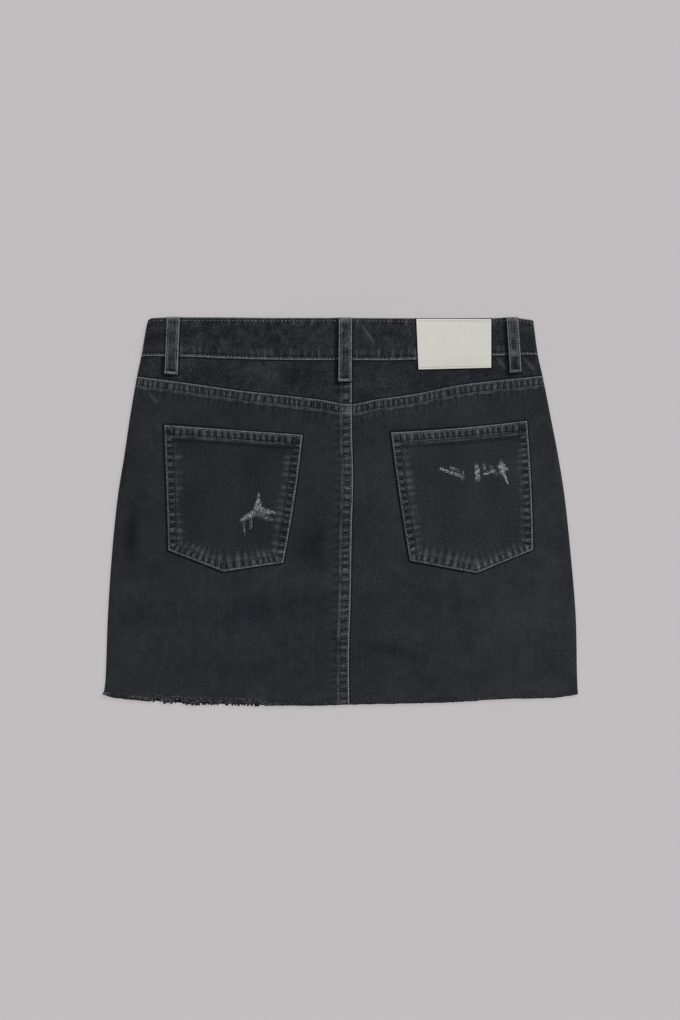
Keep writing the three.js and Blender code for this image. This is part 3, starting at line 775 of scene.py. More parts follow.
def front_rows(sewing):
    """The front's stitches: the waistband's two rows, the centre front, the fly and the buttonhole."""
    rows = []
    ends = ((outer_end, -BAND_STRAIGHT, OUTER_END - 1.7), (inner_end, OUTER_END + 1.5, BAND_STRAIGHT))
    for face, start, end in ends:

        def on_band(x, y, face=face):
            return face(x) + FRONT_CLEAR

        x = np.linspace(start, end, 300)
        for line in (band_low(x) + BAND_ROW_LOW, band_top(x) - BAND_ROW_TOP):
            rows.append(pressed_row(np.stack([x, line - front_dip(x)], 1), on_band, sewing))

    def on_front(x, y):
        return front_face("left", x, y) + FRONT_CLEAR

    # Two curved rows round the fly, and two straight ones below it
    t = np.linspace(0, 1, 60)
    for inset in (FLY_ROW, FLY_ROW + 6.3):
        down = mix(front_waist(0.0), FLY_END + FLY_WIDE, t[:-1])
        turn = t * np.pi / 2
        reach = FLY_WIDE + FLY_ROW - inset
        corner_x = LAP_LEFT_EDGE - FLY_ROW - reach * np.cos(turn) ** 0.8
        corner_y = FLY_END + FLY_WIDE - reach * np.sin(turn)
        path_x = np.append(LAP_LEFT_EDGE - FLY_ROW - reach + 0 * down, corner_x)
        path = np.stack([path_x, np.append(down, corner_y)], 1)
        rows.append(pressed_row(path, on_front, sewing))
        edge = np.stack([LAP_LEFT_EDGE - inset + 0 * t, mix(-188, FLY_END, t)], 1)
        rows.append(pressed_row(edge, on_front, sewing))

    # The buttonhole's short threads, on either side of it
    across = np.arange(BUTTONHOLE_END - 1.6, BUTTON_X - 8, 0.5)
    for side in (-1, 1):
        y = button_y() + side * np.array([0.7, 1.2, 1.7, 2.2, 2.7])
        z = outer_end(across)[:, None] + FRONT_CLEAR + np.array([0.2, -0.1, -0.15, -0.1, 0.2])
        rows.append(stack(across[:, None], y, z))
    return rows


def button_y():
    """The middle of the waistband in front, where the button is."""
    return mix(band_low(BUTTON_X), band_top(BUTTON_X), 0.5) - front_dip(BUTTON_X)


# Meshes from arrays


def lines(span, start=ONE_LINE, end=ONE_LINE, step=2.0):
    """Grid lines across a piece, as a share of its width and an offset in millimetres.

    Some lie at set distances from either edge, and the rest evenly between those.
    """
    count = max(1, round((span - start[-1] - end[-1]) / step))
    t = np.linspace(0, 1, count + 1)
    share = np.concatenate([np.zeros(len(start) - 1), t, np.ones(len(end) - 1)])
    offset = np.concatenate([start[:-1], start[-1] * (1 - t) - end[-1] * t, -end[:-1][::-1]])
    return share, offset


def crossings(left, right, bottom, top, columns, rows):
    """Where columns and rows cross in a four-sided piece whose sides are curves.

    x lies between the side curves at y, and y between the end curves at x, so they are worked out in
    turn, each from the other, until they settle.
    """
    column_share, column_offset = columns
    row_share, row_offset = (part[:, None] for part in rows)
    x = np.zeros((len(row_share), len(column_share)))
    y = x + mix(bottom(0.0), top(0.0), 0.5)
    for _ in range(10):
        x = mix(left(y), right(y), column_share) + column_offset
        y = mix(bottom(x), top(x), row_share) + row_offset
    return x, y


def turned_columns(side, span, seam_lines, step):
    """The columns of a panel's outer and inner face, as shares of its width and offsets.

    They are closer beside its seam. At its side the wall turns over as a quarter of an ellipse: the
    offset goes by 1 minus the angle's cosine, and the angle's sine, which is given too, is how far
    the wall has turned to lie flat.
    """
    angle = np.linspace(0, np.pi / 2, 9)
    inset = 1 - np.cos(angle)
    turns = SIDE_TURN * inset, DENIM + (SIDE_TURN - DENIM) * inset
    turned = np.sin(angle)
    if side == "left":
        share, offset = lines(span - SIDE_TURN, end=seam_lines, step=step)
        offset = offset + (1 - share) * SIDE_TURN
        columns = [(np.append(0 * t[:-1], share), np.append(t[:-1], offset)) for t in turns]
        return columns, np.append(turned[:-1], np.ones(len(share)))
    share, offset = lines(span - SIDE_TURN, start=seam_lines, step=step)
    offset = offset - share * SIDE_TURN
    columns = [(np.append(share, 1 + 0 * t[1:]), np.append(offset, -t[::-1][1:])) for t in turns]
    return columns, np.append(np.ones(len(share)), turned[::-1][1:])


def quads(index):
    """The four corners of every cell of a grid of point numbers, turning left."""
    return np.stack([index[:-1, :-1], index[:-1, 1:], index[1:, 1:], index[1:, :-1]], -1)


def volume(points, faces):
    """Six times the volume inside four-sided faces: the sum of each half's triple product."""
    a, b, c, d = (points[faces[:, k]] for k in range(4))
    return (a * np.cross(b, c)).sum() + (a * np.cross(c, d)).sum()


def mesh_from(name, points, faces, material):
    """One smooth mesh object at the origin, from points in millimetres and faces of equal length."""
    mesh = bpy.data.meshes.new(name)
    count, corners = faces.shape
    mesh.vertices.add(len(points))
    mesh.vertices.foreach_set("co", (points * MM).astype(np.float32).ravel())
    mesh.loops.add(count * corners)
    mesh.loops.foreach_set("vertex_index", faces.astype(np.int32).ravel())
    mesh.polygons.add(count)
    mesh.polygons.foreach_set("loop_start", np.arange(count, dtype=np.int32) * corners)
    mesh.polygons.foreach_set("use_smooth", np.ones(count, bool))
    mesh.materials.append(material)
    mesh.update(calc_edges=True)
    piece = bpy.data.objects.new(name, mesh)
    bpy.context.scene.collection.objects.link(piece)
    return piece


def wall(name, outer, inner, cloth, marks, material, open_cells=None):
    """A closed shell: the cells of two facing grids, and a strip along every edge that they leave.

    cloth is each point's place on the flat cut, across and along the warp, and becomes the UV map in
    metres. The marks become attributes.
    """
    rows, columns = outer.shape[:2]
    total = rows * columns
    cells = quads(np.arange(total).reshape(rows, columns))
    if open_cells is not None:
        cells = cells[~open_cells]
    cells = cells.reshape(-1, 4)
    starts, ends = cells.ravel(), np.roll(cells, -1, axis=1).ravel()
    edge = ~np.isin(starts * total + ends, ends * total + starts)
    starts, ends = starts[edge], ends[edge]
    rim = np.stack([starts, starts + total, ends + total, ends], 1)
    faces = np.concatenate([cells, cells[:, ::-1] + total, rim])
    points = np.concatenate([outer.reshape(-1, 3), inner.reshape(-1, 3)])
    if volume(points, faces) < 0:
        faces = faces[:, ::-1]
    piece = mesh_from(name, points, faces, material)
    flat = np.tile(cloth.reshape(-1, 2), (2, 1)) * MM
    layer = piece.data.uv_layers.new(name="cloth")
    layer.data.foreach_set("uv", flat[faces.ravel()].astype(np.float32).ravel())
    for mark in Marks.NAMES[1:]:
        values = np.broadcast_to(getattr(marks, mark), (rows, columns)).ravel()
        inner_values = {"edge": values, "groove": np.full(total, FAR)}.get(mark, np.zeros(total))
        values = np.concatenate([values, inner_values])
        attribute = piece.data.attributes.new(mark, "FLOAT", "POINT")
        attribute.data.foreach_set("value", values.astype(np.float32))
    return piece


def stack(x, y, z):
    """Points from their three coordinates."""
    return np.stack(np.broadcast_arrays(x, y, z), -1)


def fan(before, after, centre):
    """Triangles from pairs of point numbers to one point, as four-cornered faces that repeat it."""
    point = np.full(len(before), centre)
    return np.stack([before, after, point, point], 1)


def threads(name, paths, radii, material, sides=5):
    """Many short threads in one mesh: rings of points carried along each one's path.

    paths holds the points of every thread, and radii the radius at each of those points. A ring lies
    across its path, round the path's direction, and the two ends are closed with a point each.
    """
    count, steps = paths.shape[:2]
    ahead = np.gradient(paths, axis=1)
    ahead /= np.linalg.norm(ahead, axis=2, keepdims=True) + 1e-9
    across = np.cross(ahead, np.array([0.0, 0.0, 1.0]))
    flat = np.linalg.norm(across, axis=2, keepdims=True) < 0.05
    across = np.where(flat, np.array([1.0, 0.0, 0.0]), across)
    across /= np.linalg.norm(across, axis=2, keepdims=True)
    over = np.cross(across, ahead)
    angle = np.linspace(0, 2 * np.pi, sides, endpoint=False)
    turn = np.stack([np.cos(angle), np.sin(angle)], -1)
    ring = across[:, :, None] * turn[:, :1] + over[:, :, None] * turn[:, 1:]
    rings = paths[:, :, None] + ring * radii[:, :, None, None]
    points = np.concatenate([rings.reshape(count, -1, 3), paths[:, :1], paths[:, -1:]], 1)
    index = np.arange(steps * sides).reshape(steps, sides)
    around = np.concatenate([index, index[:, :1]], 1)
    sleeve = quads(around).reshape(-1, 4)
    start = fan(around[0, 1:], around[0, :-1], steps * sides)
    end = fan(around[-1, :-1], around[-1, 1:], steps * sides + 1)
    faces = np.concatenate([sleeve, start, end])
    faces = faces[None] + (np.arange(count) * points.shape[1])[:, None, None]
    return mesh_of_mixed(name, points.reshape(-1, 3), faces.reshape(-1, 4), material)


def mesh_of_mixed(name, points, faces, material):
    """A mesh from four-cornered faces, where a face that repeats its last corner is a triangle."""
    three = faces[:, 2] == faces[:, 3]
    triangles = faces[three][:, :3]
    fours = faces[~three]
    halves = np.concatenate([fours[:, [0, 1, 2]], fours[:, [0, 2, 3]], triangles])
    return mesh_from(name, points, halves, material)


def stitch_row(path, surface, sewing, facing=1, longer=1.0):
    """One row of lockstitches: for each, five points that rise out of the cloth and dive back in.

    The stitches are spread evenly over the path's length, a whole number of them.
    """
    pitch = longer * sewing.stitch_length / MM
    at = np.concatenate([[0], np.cumsum(np.hypot(*np.diff(path, axis=0).T))])
    count = int(at[-1] // pitch)
    middle = (np.arange(count) + 0.5) * (at[-1] / max(count, 1))
    place = middle[:, None] + STITCH_REACH * pitch
    x = np.interp(place, at, path[:, 0])
    y = np.interp(place, at, path[:, 1])
    return stack(x, y, surface(x, y) + facing * STITCH_RISE)


def sew(name, rows, material, sewing):
    """Joins rows of stitches into one finished piece."""
    paths = np.concatenate(rows)
    swell = sewing.thread_width / MM / 2 * np.array([0.55, 0.95, 1.0, 0.95, 0.55])
    return finish_piece(threads(name, paths, np.tile(swell, (len(paths), 1)), material))


def finish_piece(piece, nodes=(), flat=None, area=None):
    """Puts a piece on the skirt's one body, and hides the imported parts that it takes the place of."""
    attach(piece, BODY)
    if nodes:
        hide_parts(*nodes)
    return piece


# Materials


def feed(tree, node, inputs):
    """Links each named input of a node to a socket, or sets it to a value."""
    for key, value in inputs.items():
        if isinstance(value, bpy.types.NodeSocket):
            tree.links.new(value, node.inputs[key])
        else:
            node.inputs[key].default_value = value


def add(tree, kind, inputs=None, **settings):
    """A node with its settings and its inputs."""
    made = tree.nodes.new(kind)
    for name, value in settings.items():
        setattr(made, name, value)
    feed(tree, made, inputs or {})
    return made


def maths(tree, operation, *values, clamp=False):
    """One step of arithmetic."""
    inputs = dict(enumerate(values))
    return add(tree, "ShaderNodeMath", inputs, operation=operation, use_clamp=clamp).outputs[0]


def times(tree, value, factor):
    """A value times a factor."""
    return maths(tree, "MULTIPLY", value, factor)


def times_plus(tree, value, factor, extra):
    """A value times a factor, plus an extra."""
    return maths(tree, "MULTIPLY_ADD", value, factor, extra)


def ripples(tree, value, length=1.0):
    """A sine that repeats each time the value grows by this length."""
    return maths(tree, "SINE", times(tree, value, 2 * math.pi / length))


def eased(tree, value, low, high, to_low=0.0, to_high=1.0):
    """An eased step of a value, from one level to another."""
    inputs = {"Value": value, 1: low, 2: high, 3: to_low, 4: to_high}
    return add(tree, "ShaderNodeMapRange", inputs, interpolation_type="SMOOTHSTEP").outputs[0]


def noise(tree, vector, scale, detail=2.0, roughness=0.5):
    """Smooth noise from 0 to 1."""
    inputs = {"Vector": vector, "Scale": scale, "Detail": detail, "Roughness": roughness}
    return add(tree, "ShaderNodeTexNoise", inputs).outputs["Fac"]


def stretched(tree, vector, scale):
    """A vector with each of its parts multiplied."""
    return add(tree, "ShaderNodeVectorMath", {0: vector, 1: scale}, operation="MULTIPLY").outputs[0]


def new_group(name, values, results):
    """A node group that is given the cloth's place and some values, and gives other values.

    It returns the tree, the cloth's place in millimetres, what is given, and the output node.
    """
    tree = bpy.data.node_groups.new(name, "ShaderNodeTree")
    tree.interface.new_socket("Cloth", in_out="INPUT", socket_type="NodeSocketVector")
    for in_out, sockets in (("INPUT", values), ("OUTPUT", results)):
        for socket in sockets.split():
            tree.interface.new_socket(socket, in_out=in_out, socket_type="NodeSocketFloat")
    given = tree.nodes.new("NodeGroupInput").outputs
    cloth = stretched(tree, given["Cloth"], (1000, 1000, 1000))
    return tree, cloth, given, tree.nodes.new("NodeGroupOutput")


def put(tree, group, inputs):
    """A node group placed in a material with its own values."""
    return add(tree, "ShaderNodeGroup", inputs, node_tree=group).outputs


def twill_group():
    """Twill: diagonal wales, crossed by single warp threads, both bent a little by noise.

    Wale is the spacing of the diagonals in millimetres.
    """
    tree, cloth, given, result = new_group("twill", "Wale", "Height Thread")
    bend = times(tree, noise(tree, cloth, 0.35), 1.6)
    parts = add(tree, "ShaderNodeSeparateXYZ", {0: cloth}).outputs
    diagonal = times_plus(tree, parts["Y"], 0.62, parts["X"])
    wale = ripples(tree, maths(tree, "ADD", maths(tree, "DIVIDE", diagonal, given["Wale"]), bend))
    fine = times(tree, ripples(tree, parts["X"], 0.46), ripples(tree, parts["Y"], 0.62))
    height = times_plus(tree, fine, 0.35, wale)
    outputs = {"Height": times_plus(tree, height, 0.37, 0.5), "Thread": times_plus(tree, wale, 0.5, 0.5)}
    feed(tree, result, outputs)
    return tree


def slub_group():
    """Uneven yarn: streaks along the warp in two lengths, short ones across, pale specks and flecks."""
    tree, cloth, _, result = new_group("slubs", "", "Streak Speck Fleck")

    def yarn(across, along, *detail):
        return noise(tree, stretched(tree, cloth, (across, along, 1)), 1.0, *detail)

    streak = times_plus(tree, yarn(0.35, 0.018), 0.7, yarn(1.0, 0.11, 3, 0.6))
    streak = times_plus(tree, yarn(0.1, 0.9, 2, 0.6), 0.5, streak)
    outputs = {
        "Streak": maths(tree, "SUBTRACT", streak, 1.1),
        "Speck": eased(tree, yarn(1.2, 0.95, 3, 0.75), 0.4, 0.64),
        "Fleck": eased(tree, yarn(0.62, 0.42, 3, 0.7), 0.48, 0.66),
    }
    feed(tree, result, outputs)
    return tree


def wear_and_shade_group():
    """Worn edges and painted shade. Worn edges are pale lines broken up along the cloth; beside the edges
    of pieces that lie over the cloth, shade is painted.

    Edge and Shade are distances in millimetres, and Width is how wide the pale line is.
    """
    tree, cloth, given, result = new_group("edge wear", "Edge Groove Pale Width", "Line Fade Deep")
    rough = noise(tree, cloth, 0.75, 3, 0.6)
    distance = maths(tree, "SUBTRACT", given["Edge"], times_plus(tree, rough, 1.2, -0.6))
    reach = times(tree, given["Width"], times_plus(tree, noise(tree, cloth, 0.12), 1.5, 0.3))
    line = eased(tree, maths(tree, "DIVIDE", distance, reach), 1.4, 0.6)
    broken = times_plus(tree, eased(tree, rough, 0.42, 0.57), 0.62, 0.38)
    soft = eased(tree, given["Edge"], 3.0, 0.0)
    grain = times_plus(tree, eased(tree, rough, 0.3, 0.7), 1.2, 0.4)
    outputs = {
        "Line": times_plus(tree, soft, 0.05, times(tree, line, broken)),
        "Fade": times(tree, given["Pale"], grain),
        # This output is painted shade, full within 1.1 mm of an edge that lies over the cloth and gone past 2
        # mm
        "Deep": eased(tree, given["Groove"], 2.0, 1.1),
    }
    feed(tree, result, outputs)
    return tree


def pucker_group():
    """Puckers across a seam: narrow worn ridges, each of its own strength, with finer ones between.

    A ridge is a power of a cosine of the count, and its strength is a random number for that count.
    """
    tree, cloth, given, result = new_group("seam puckers", "Count Bars", "Light")
    rough = eased(tree, noise(tree, cloth, 0.95, 3, 0.65), 0.41, 0.6)
    total = -0.13
    for often, sharp, strength in ((1.0, 1.5, 0.8), (2.3, 2.4, 0.35)):
        count = times(tree, given["Count"], often)
        cosine = maths(tree, "COSINE", times(tree, count, 2 * math.pi))
        narrow = maths(tree, "POWER", times_plus(tree, cosine, 0.5, 0.5), sharp)
        number = {"W": maths(tree, "ROUND", count)}
        own = add(tree, "ShaderNodeTexWhiteNoise", number, noise_dimensions="1D").outputs["Value"]
        own = times_plus(tree, own, 0.7 * strength, 0.45 * strength)
        total = times_plus(tree, narrow, own, total)
    total = times(tree, total, times_plus(tree, rough, 1.3, 0.35))
    total = maths(tree, "ADD", total, times_plus(tree, rough, 0.3, -0.15))
    feed(tree, result, {"Light": times(tree, total, given["Bars"])})
    return tree


def new_material(name):
    """An empty material, its node tree and its Principled BSDF."""
    material = bpy.data.materials.new(name)
    material.use_nodes = True
    return material, material.node_tree, material.node_tree.nodes["Principled BSDF"]


def object_place(tree):
    """The place on the object, in metres."""
    return add(tree, "ShaderNodeTexCoord").outputs["Object"]


def toned(colour, factor=1):
    """A colour made paler or darker by a factor, with full cover."""
    return (*[c * factor for c in colour], 1)


def blend_colours(tree, share, a, b):
    """One colour turning into another by a share."""
    return add(tree, "ShaderNodeMix", {"Factor": share, 6: a, 7: b}, data_type="RGBA").outputs[2]


def bumped(tree, height, distance):
    """A normal from a height that runs from 0 to 1, this far in metres."""
    inputs = {"Height": height, "Distance": distance, "Strength": 1.0}
    return add(tree, "ShaderNodeBump", inputs).outputs[0]


def denim_material(finish):
    """Black denim: dye and faded yarn mixed by worn places, puckers, slubs and specks, and by painted light
    and shade, with a twill bump.
    """
    material, tree, shader = new_material("black denim")
    cloth = add(tree, "ShaderNodeUVMap", uv_map="cloth").outputs[0]
    marks = {
        name: add(tree, "ShaderNodeAttribute", attribute_name=name).outputs["Fac"]
        for name in Marks.NAMES[1:]
    }
    weave = put(tree, twill_group(), {"Cloth": cloth, "Wale": 0.74})
    yarn = put(tree, slub_group(), {"Cloth": cloth})
    wear_and_shade = {
        "Cloth": cloth,
        "Edge": marks["edge"],
        "Groove": marks["groove"],
        "Pale": marks["pale"],
        "Width": finish.edge_width / MM,
    }
    # Its outputs are the worn edge line, the paleness and the painted shade beside edges
    worn = put(tree, wear_and_shade_group(), wear_and_shade)
    puckers = {"Cloth": cloth, "Count": marks["count"], "Bars": marks["bars"]}
    bars = put(tree, pucker_group(), puckers)["Light"]
    fuzz = times(tree, marks["fuzz"], maths(tree, "SUBTRACT", yarn["Fleck"], 0.3))
    share = times_plus(tree, yarn["Streak"], 0.08, finish.base_fade)
    for value, strength in (
        (yarn["Speck"], finish.grain),
        (weave["Thread"], 0.05),
        (worn["Fade"], 0.5),
        (bars, finish.pucker_wear),
        (fuzz, 0.4),
        (worn["Line"], finish.edge_wear),
    ):
        share = times_plus(tree, value, strength, share)
    # Painted shade beside edges that lie over the cloth pulls its colour toward the dye
    painted_shade_factor = times_plus(tree, worn["Deep"], -finish.painted_shade_depth, 1.0)
    share = maths(tree, "MULTIPLY", share, painted_shade_factor, clamp=True)
    relief = times(tree, times_plus(tree, yarn["Speck"], 0.8, weave["Height"]), 0.14)
    relief = times_plus(tree, bars, 0.22, relief)
    relief = times_plus(tree, fuzz, 0.5, relief)
    inputs = {
        "Base Color": blend_colours(tree, share, toned(finish.dye), toned(finish.faded)),
        "Roughness": times_plus(tree, yarn["Speck"], -0.12, 0.95),
        "Normal": bumped(tree, relief, 0.001),
        "Specular IOR Level": 0.14,
        "Sheen Weight": 0.025,
        "Sheen Roughness": 0.5,
    }
    feed(tree, shader, inputs)
    return material


def thread_material(name, dark, light, spread):
    """Sewing or frayed thread: two tones mixed by noise from stitch to stitch, with a fine twist."""
    material, tree, shader = new_material(name)
    place = object_place(tree)
    tone = eased(tree, noise(tree, place, spread), 0.38, 0.62)
    inputs = {
        "Base Color": blend_colours(tree, tone, dark, light),
        "Normal": bumped(tree, noise(tree, place, 4200, 1), 0.00006),
        "Roughness": 0.75,
        "Specular IOR Level": 0.3,
    }
    feed(tree, shader, inputs)
    return material


def leather_material(finish):
    """Smooth pale leather: pores and faint creases as bump, an uneven colour and a paler cut edge."""
    material, tree, shader = new_material("pale leather")
    place = object_place(tree)
    edge = add(tree, "ShaderNodeAttribute", attribute_name="edge").outputs["Fac"]
    tone = noise(tree, place, 70, 4, 0.6)
    dark, pale, cut = (toned(finish.leather, factor) for factor in (0.97, 1, 1.14))
    colour = blend_colours(tree, eased(tree, tone, 0.3, 0.7), dark, pale)
    pores = add(tree, "ShaderNodeTexVoronoi", {"Vector": place, "Scale": 1500.0}, feature="F1")
    relief = times_plus(tree, noise(tree, place, 420, 4, 0.65), 1.4, pores.outputs["Distance"])
    inputs = {
        "Base Color": blend_colours(tree, eased(tree, edge, 1.2, 0.5), colour, cut),
        "Normal": bumped(tree, relief, 0.00007),
        "Roughness": eased(tree, tone, 0.2, 0.8, 0.62, 0.5),
    }
    feed(tree, shader, inputs)
    return material


def metal_material(finish):
    """Antique button metal: dull and bright in spots, which also set its roughness and a faint bump."""
    material, tree, shader = new_material("antique metal")
    spots = noise(tree, object_place(tree), 900, 4, 0.6)
    dull, worn = toned(finish.metal, 0.45), toned(finish.metal)
    inputs = {
        "Base Color": blend_colours(tree, eased(tree, spots, 0.35, 0.6), dull, worn),
        "Roughness": eased(tree, spots, 0.3, 0.7, 0.5, 0.28),
        "Normal": bumped(tree, spots, 0.00003),
        "Metallic": 1.0,
    }
    feed(tree, shader, inputs)
    return material


def tape_material(finish):
    """The zip: woven tape with a herringbone, and the metal of its chain along the middle."""
    material, tree, shader = new_material("zip tape")
    parts = add(tree, "ShaderNodeSeparateXYZ", {0: object_place(tree)}).outputs
    across = maths(tree, "ABSOLUTE", maths(tree, "SUBTRACT", parts["X"], 0.001))
    chain = eased(tree, across, 0.0028, 0.0024)
    rib = ripples(tree, maths(tree, "ADD", across, parts["Y"]), 1 / 900)
    tooth = times(tree, ripples(tree, parts["Y"], 0.0018), chain)
    inputs = {
        "Base Color": blend_colours(tree, chain, toned(finish.dye), toned(finish.metal)),
        "Metallic": chain,
        "Roughness": eased(tree, chain, 0, 1, 0.85, 0.35),
        "Normal": bumped(tree, times_plus(tree, tooth, 3.0, rib), 0.00008),
    }
    feed(tree, shader, inputs)
    return material


def floor_material(studio):
    """Plain pale paper, which gives off part of its own light."""
    material, tree, shader = new_material("pale floor")
    tone = eased(tree, noise(tree, object_place(tree), 900), 0.2, 0.8)
    lit = 1 - studio.glow
    slightly, paper = toned(studio.floor, 0.985 * lit), toned(studio.floor, lit)
    inputs = {
        "Base Color": blend_colours(tree, tone, slightly, paper),
        "Emission Color": toned(studio.floor, studio.glow),
        "Emission Strength": FLOOR_EMISSION,
        "Roughness": 1.0,
        "Specular IOR Level": 0.0,
    }
    feed(tree, shader, inputs)
    return material


# Settings


def number_property(name, description, default, **kind):
    """A number, with its unit or subtype."""
    return bpy.props.FloatProperty(name=name, description=description, default=default, **kind)


def colour_property(name, description, default):
    """A colour whose parts run from 0 to 1."""
    return bpy.props.FloatVectorProperty(
        name=name, description=description, default=default, subtype="COLOR", size=3, min=0, max=1
    )


class SkirtSewing(bpy.types.PropertyGroup):
    """Sizes of the sewing, the puckers and the fray."""

    stitch_length: number_property("Stitch Length", "From one stitch to the next", 0.0029, unit="LENGTH")
    thread_width: number_property("Thread Width", "Thickness of the sewing thread", 0.0007, unit="LENGTH")
    pucker_height: number_property("Pucker Height", "Height of ridges on seams", 0.00026, unit="LENGTH")
    fray_length: number_property("Fray Length", "Longest loose hem threads", 0.0032, unit="LENGTH")


class SkirtFinish(bpy.types.PropertyGroup):
    """Colours of the cloth and trims, and how strongly they are worn."""

    dye: colour_property("Dye", "Colour of unworn denim", (0.0058, 0.0064, 0.0108))
    faded: colour_property("Faded Yarn", "Colour of fully worn denim", (0.212, 0.218, 0.24))
    thread: colour_property("Thread", "Colour of the sewing thread", (0.082, 0.084, 0.094))
    leather: colour_property("Leather", "Colour of the label", (0.65, 0.637, 0.58))
    metal: colour_property("Metal", "Colour of the button and the zip's chain", (0.22, 0.2, 0.17))
    base_fade: number_property("Base Fade", "How faded the whole cloth is", -0.016, subtype="FACTOR")
    grain: number_property("Grain", "Strength of the pale specks in the yarn", 0.15, subtype="FACTOR")
    edge_wear: number_property("Edge Wear", "Paleness of worn edges", 0.9, subtype="FACTOR")
    edge_width: number_property("Edge Width", "Width of the worn line on edges", 0.0009, unit="LENGTH")
    pucker_wear: number_property("Pucker Wear", "Paleness of ridges on seams", 0.48, subtype="FACTOR")
    # How far the painted shade beside edges pulls the cloth toward the dye colour
    painted_shade_depth: number_property("Groove Depth", "Depth of dye beside edges", 0.92, subtype="FACTOR")


class SkirtStudio(bpy.types.PropertyGroup):
    """The floor, the light and the camera."""

    floor: colour_property("Floor", "Colour of the floor", (0.594, 0.566, 0.574))
    glow: number_property("Glow", "Share of its light that the floor gives", 0.75, subtype="FACTOR")
    key: number_property("Key Light", "Strength of the soft key light", 1.85)
    fill: number_property("Fill Light", "Strength of the even light", 0.5)
    lens: number_property("Lens", "Focal length of the camera in millimetres", 85.0)
    frame_height: number_property("Frame Height", "Height of the picture", 1.02, unit="LENGTH")
    aim: bpy.props.FloatVectorProperty(
        name="Aim", description="The point under the camera", default=(-0.0006, 0.0013), size=2, unit="LENGTH"
    )


LOOKS = {}


def make_looks(finish):
    """Every material of the skirt, by name."""
    thread, dye = finish.thread, finish.dye
    looks = {
        "denim": denim_material(finish),
        "leather": leather_material(finish),
        "metal": metal_material(finish),
        "tape": tape_material(finish),
    }
    for name, dark, light, spread in (
        ("sewing thread", toned(thread), toned(thread, 2.4), 260),
        ("dark thread", toned(thread, 0.35), toned(thread, 1.3), 300),
        ("worn thread", toned(thread, 1.2), toned(thread, 2.7), 420),
        ("dark fray", toned(dye, 0.5), toned(dye), 500),
        ("pale fray", toned(thread), toned(thread, 2.4), 500),
        ("bare yarn", toned(thread, 0.9), (0.5, 0.51, 0.54, 1), 760),
        ("label thread", (0.36, 0.35, 0.3, 1), (0.52, 0.5, 0.44, 1), 300),
    ):
        looks[name] = thread_material(name, dark, light, spread)
    return looks


def skirt_settings(context):
    """The sewing's sizes and the materials, which are made once and shared by the pieces."""
    if not LOOKS:
        LOOKS.update(make_looks(context.scene.skirt_finish))
    return context.scene.skirt_sewing, LOOKS


class SKIRT_OT_stage(bpy.types.Operator):
    """Lay the floor, set the lights and hang the camera straight above"""

    bl_idname = "skirt.stage"
    bl_label = "Stage"

    def execute(self, context):
        studio = context.scene.skirt_studio
        corners = FLOOR_HALF * np.array([(-1, -1), (1, -1), (1, 1), (-1, 1)])
        points = stack(corners[:, 0], corners[:, 1], FLOOR_DROP) / MM
        floor = mesh_from("floor", points, np.arange(4)[None], floor_material(studio))
        world = bpy.data.worlds.new("studio")
        world.use_nodes = True
        background = world.node_tree.nodes["Background"]
        background.inputs["Color"].default_value = (1, 1, 1, 1)
        background.inputs["Strength"].default_value = studio.fill
        context.scene.world = world
        light = bpy.data.lights.new("key", "SUN")
        light.energy = studio.key
        light.angle = math.radians(KEY_SPREAD)
        key = bpy.data.objects.new("key", light)
        key.rotation_euler = [math.radians(turn) for turn in KEY_TURNS]
        context.scene.collection.objects.link(key)
        camera = bpy.data.cameras.new("camera")
        camera.lens = studio.lens
        height = studio.frame_height * studio.lens / camera.sensor_width + CLOTH_LEVEL
        above = bpy.data.objects.new("camera", camera)
        above.location = (*studio.aim, height)
        camera.clip_start, camera.clip_end = 0.05, 20
        context.scene.collection.objects.link(above)
        context.scene.camera = above
        context.scene.view_settings.view_transform = "Standard"
        return {"FINISHED"}


def ragged(x):
    """Where the raw hem is ragged: 1 on its left third, 0 elsewhere, eased between."""
    return smooth((x + 192) / 8) * smooth((-72 - x) / 14)


def notches(x):
    """Where the hem has lost most: near 1 in three places on the left."""
    return ridge(x, -182.8, 2.4) + ridge(x, -161.3, 3.2) + ridge(x, -118, 2.6)


def frayed(x):
    """How far the cloth's edge stops short of the hem: in notches on the left, hardly elsewhere."""
    short = 1.3 + 2.1 * notches(x) + 0.7 * cloud(x, 0 * x, 3.7, 61)
    return ragged(x) * short + 0.22 * cloud(x, 0 * x, 5, 63)


def curled(x, y):
    """How far the left corner of the hem curls out: a bell round the corner."""
    corner_x, corner_y = HEM_CORNER
    corner = np.exp(-(((x - corner_x) / 5) ** 2) - ((y - corner_y) / 3.2) ** 2)
    return -1.3 * corner, 1.0 * corner, 1.5 * corner


def back_shell(name, side, bottom, top, rows, marks_of, sewing, material):
    """A back panel or yoke: turned over at its side, with its marks raised on the outer face."""
    is_left = side == "left"
    seam_lines = SEAM_LINES if is_left else EDGE_LINES
    columns, turned = turned_columns(side, BACK_SPANS[side], seam_lines, 1.65)
    left = left_side if is_left else (lambda y: centre_back(y) + SEAM)
    right = centre_back if is_left else right_side
    grids = []
    for face in (0, 1):
        x, y = crossings(left, right, bottom, top, columns[face], rows)
        marks = marks_of(side, x, y, sewing)
        low = inside(x, y)
        flat = low + DENIM + marks.height - rounded(marks.edge) if face == 0 else low
        middle = (side_lie(y) + DENIM) / 2 + SEAM / 2
        dx, dy, dz = curled(x, y)
        grids.append((stack(x + dx, y + dy, mix(middle, flat, turned) + dz), marks))
    (outer, marks), (inner, _) = grids
    return wall(name, outer, inner, outer[..., :2], marks, material)


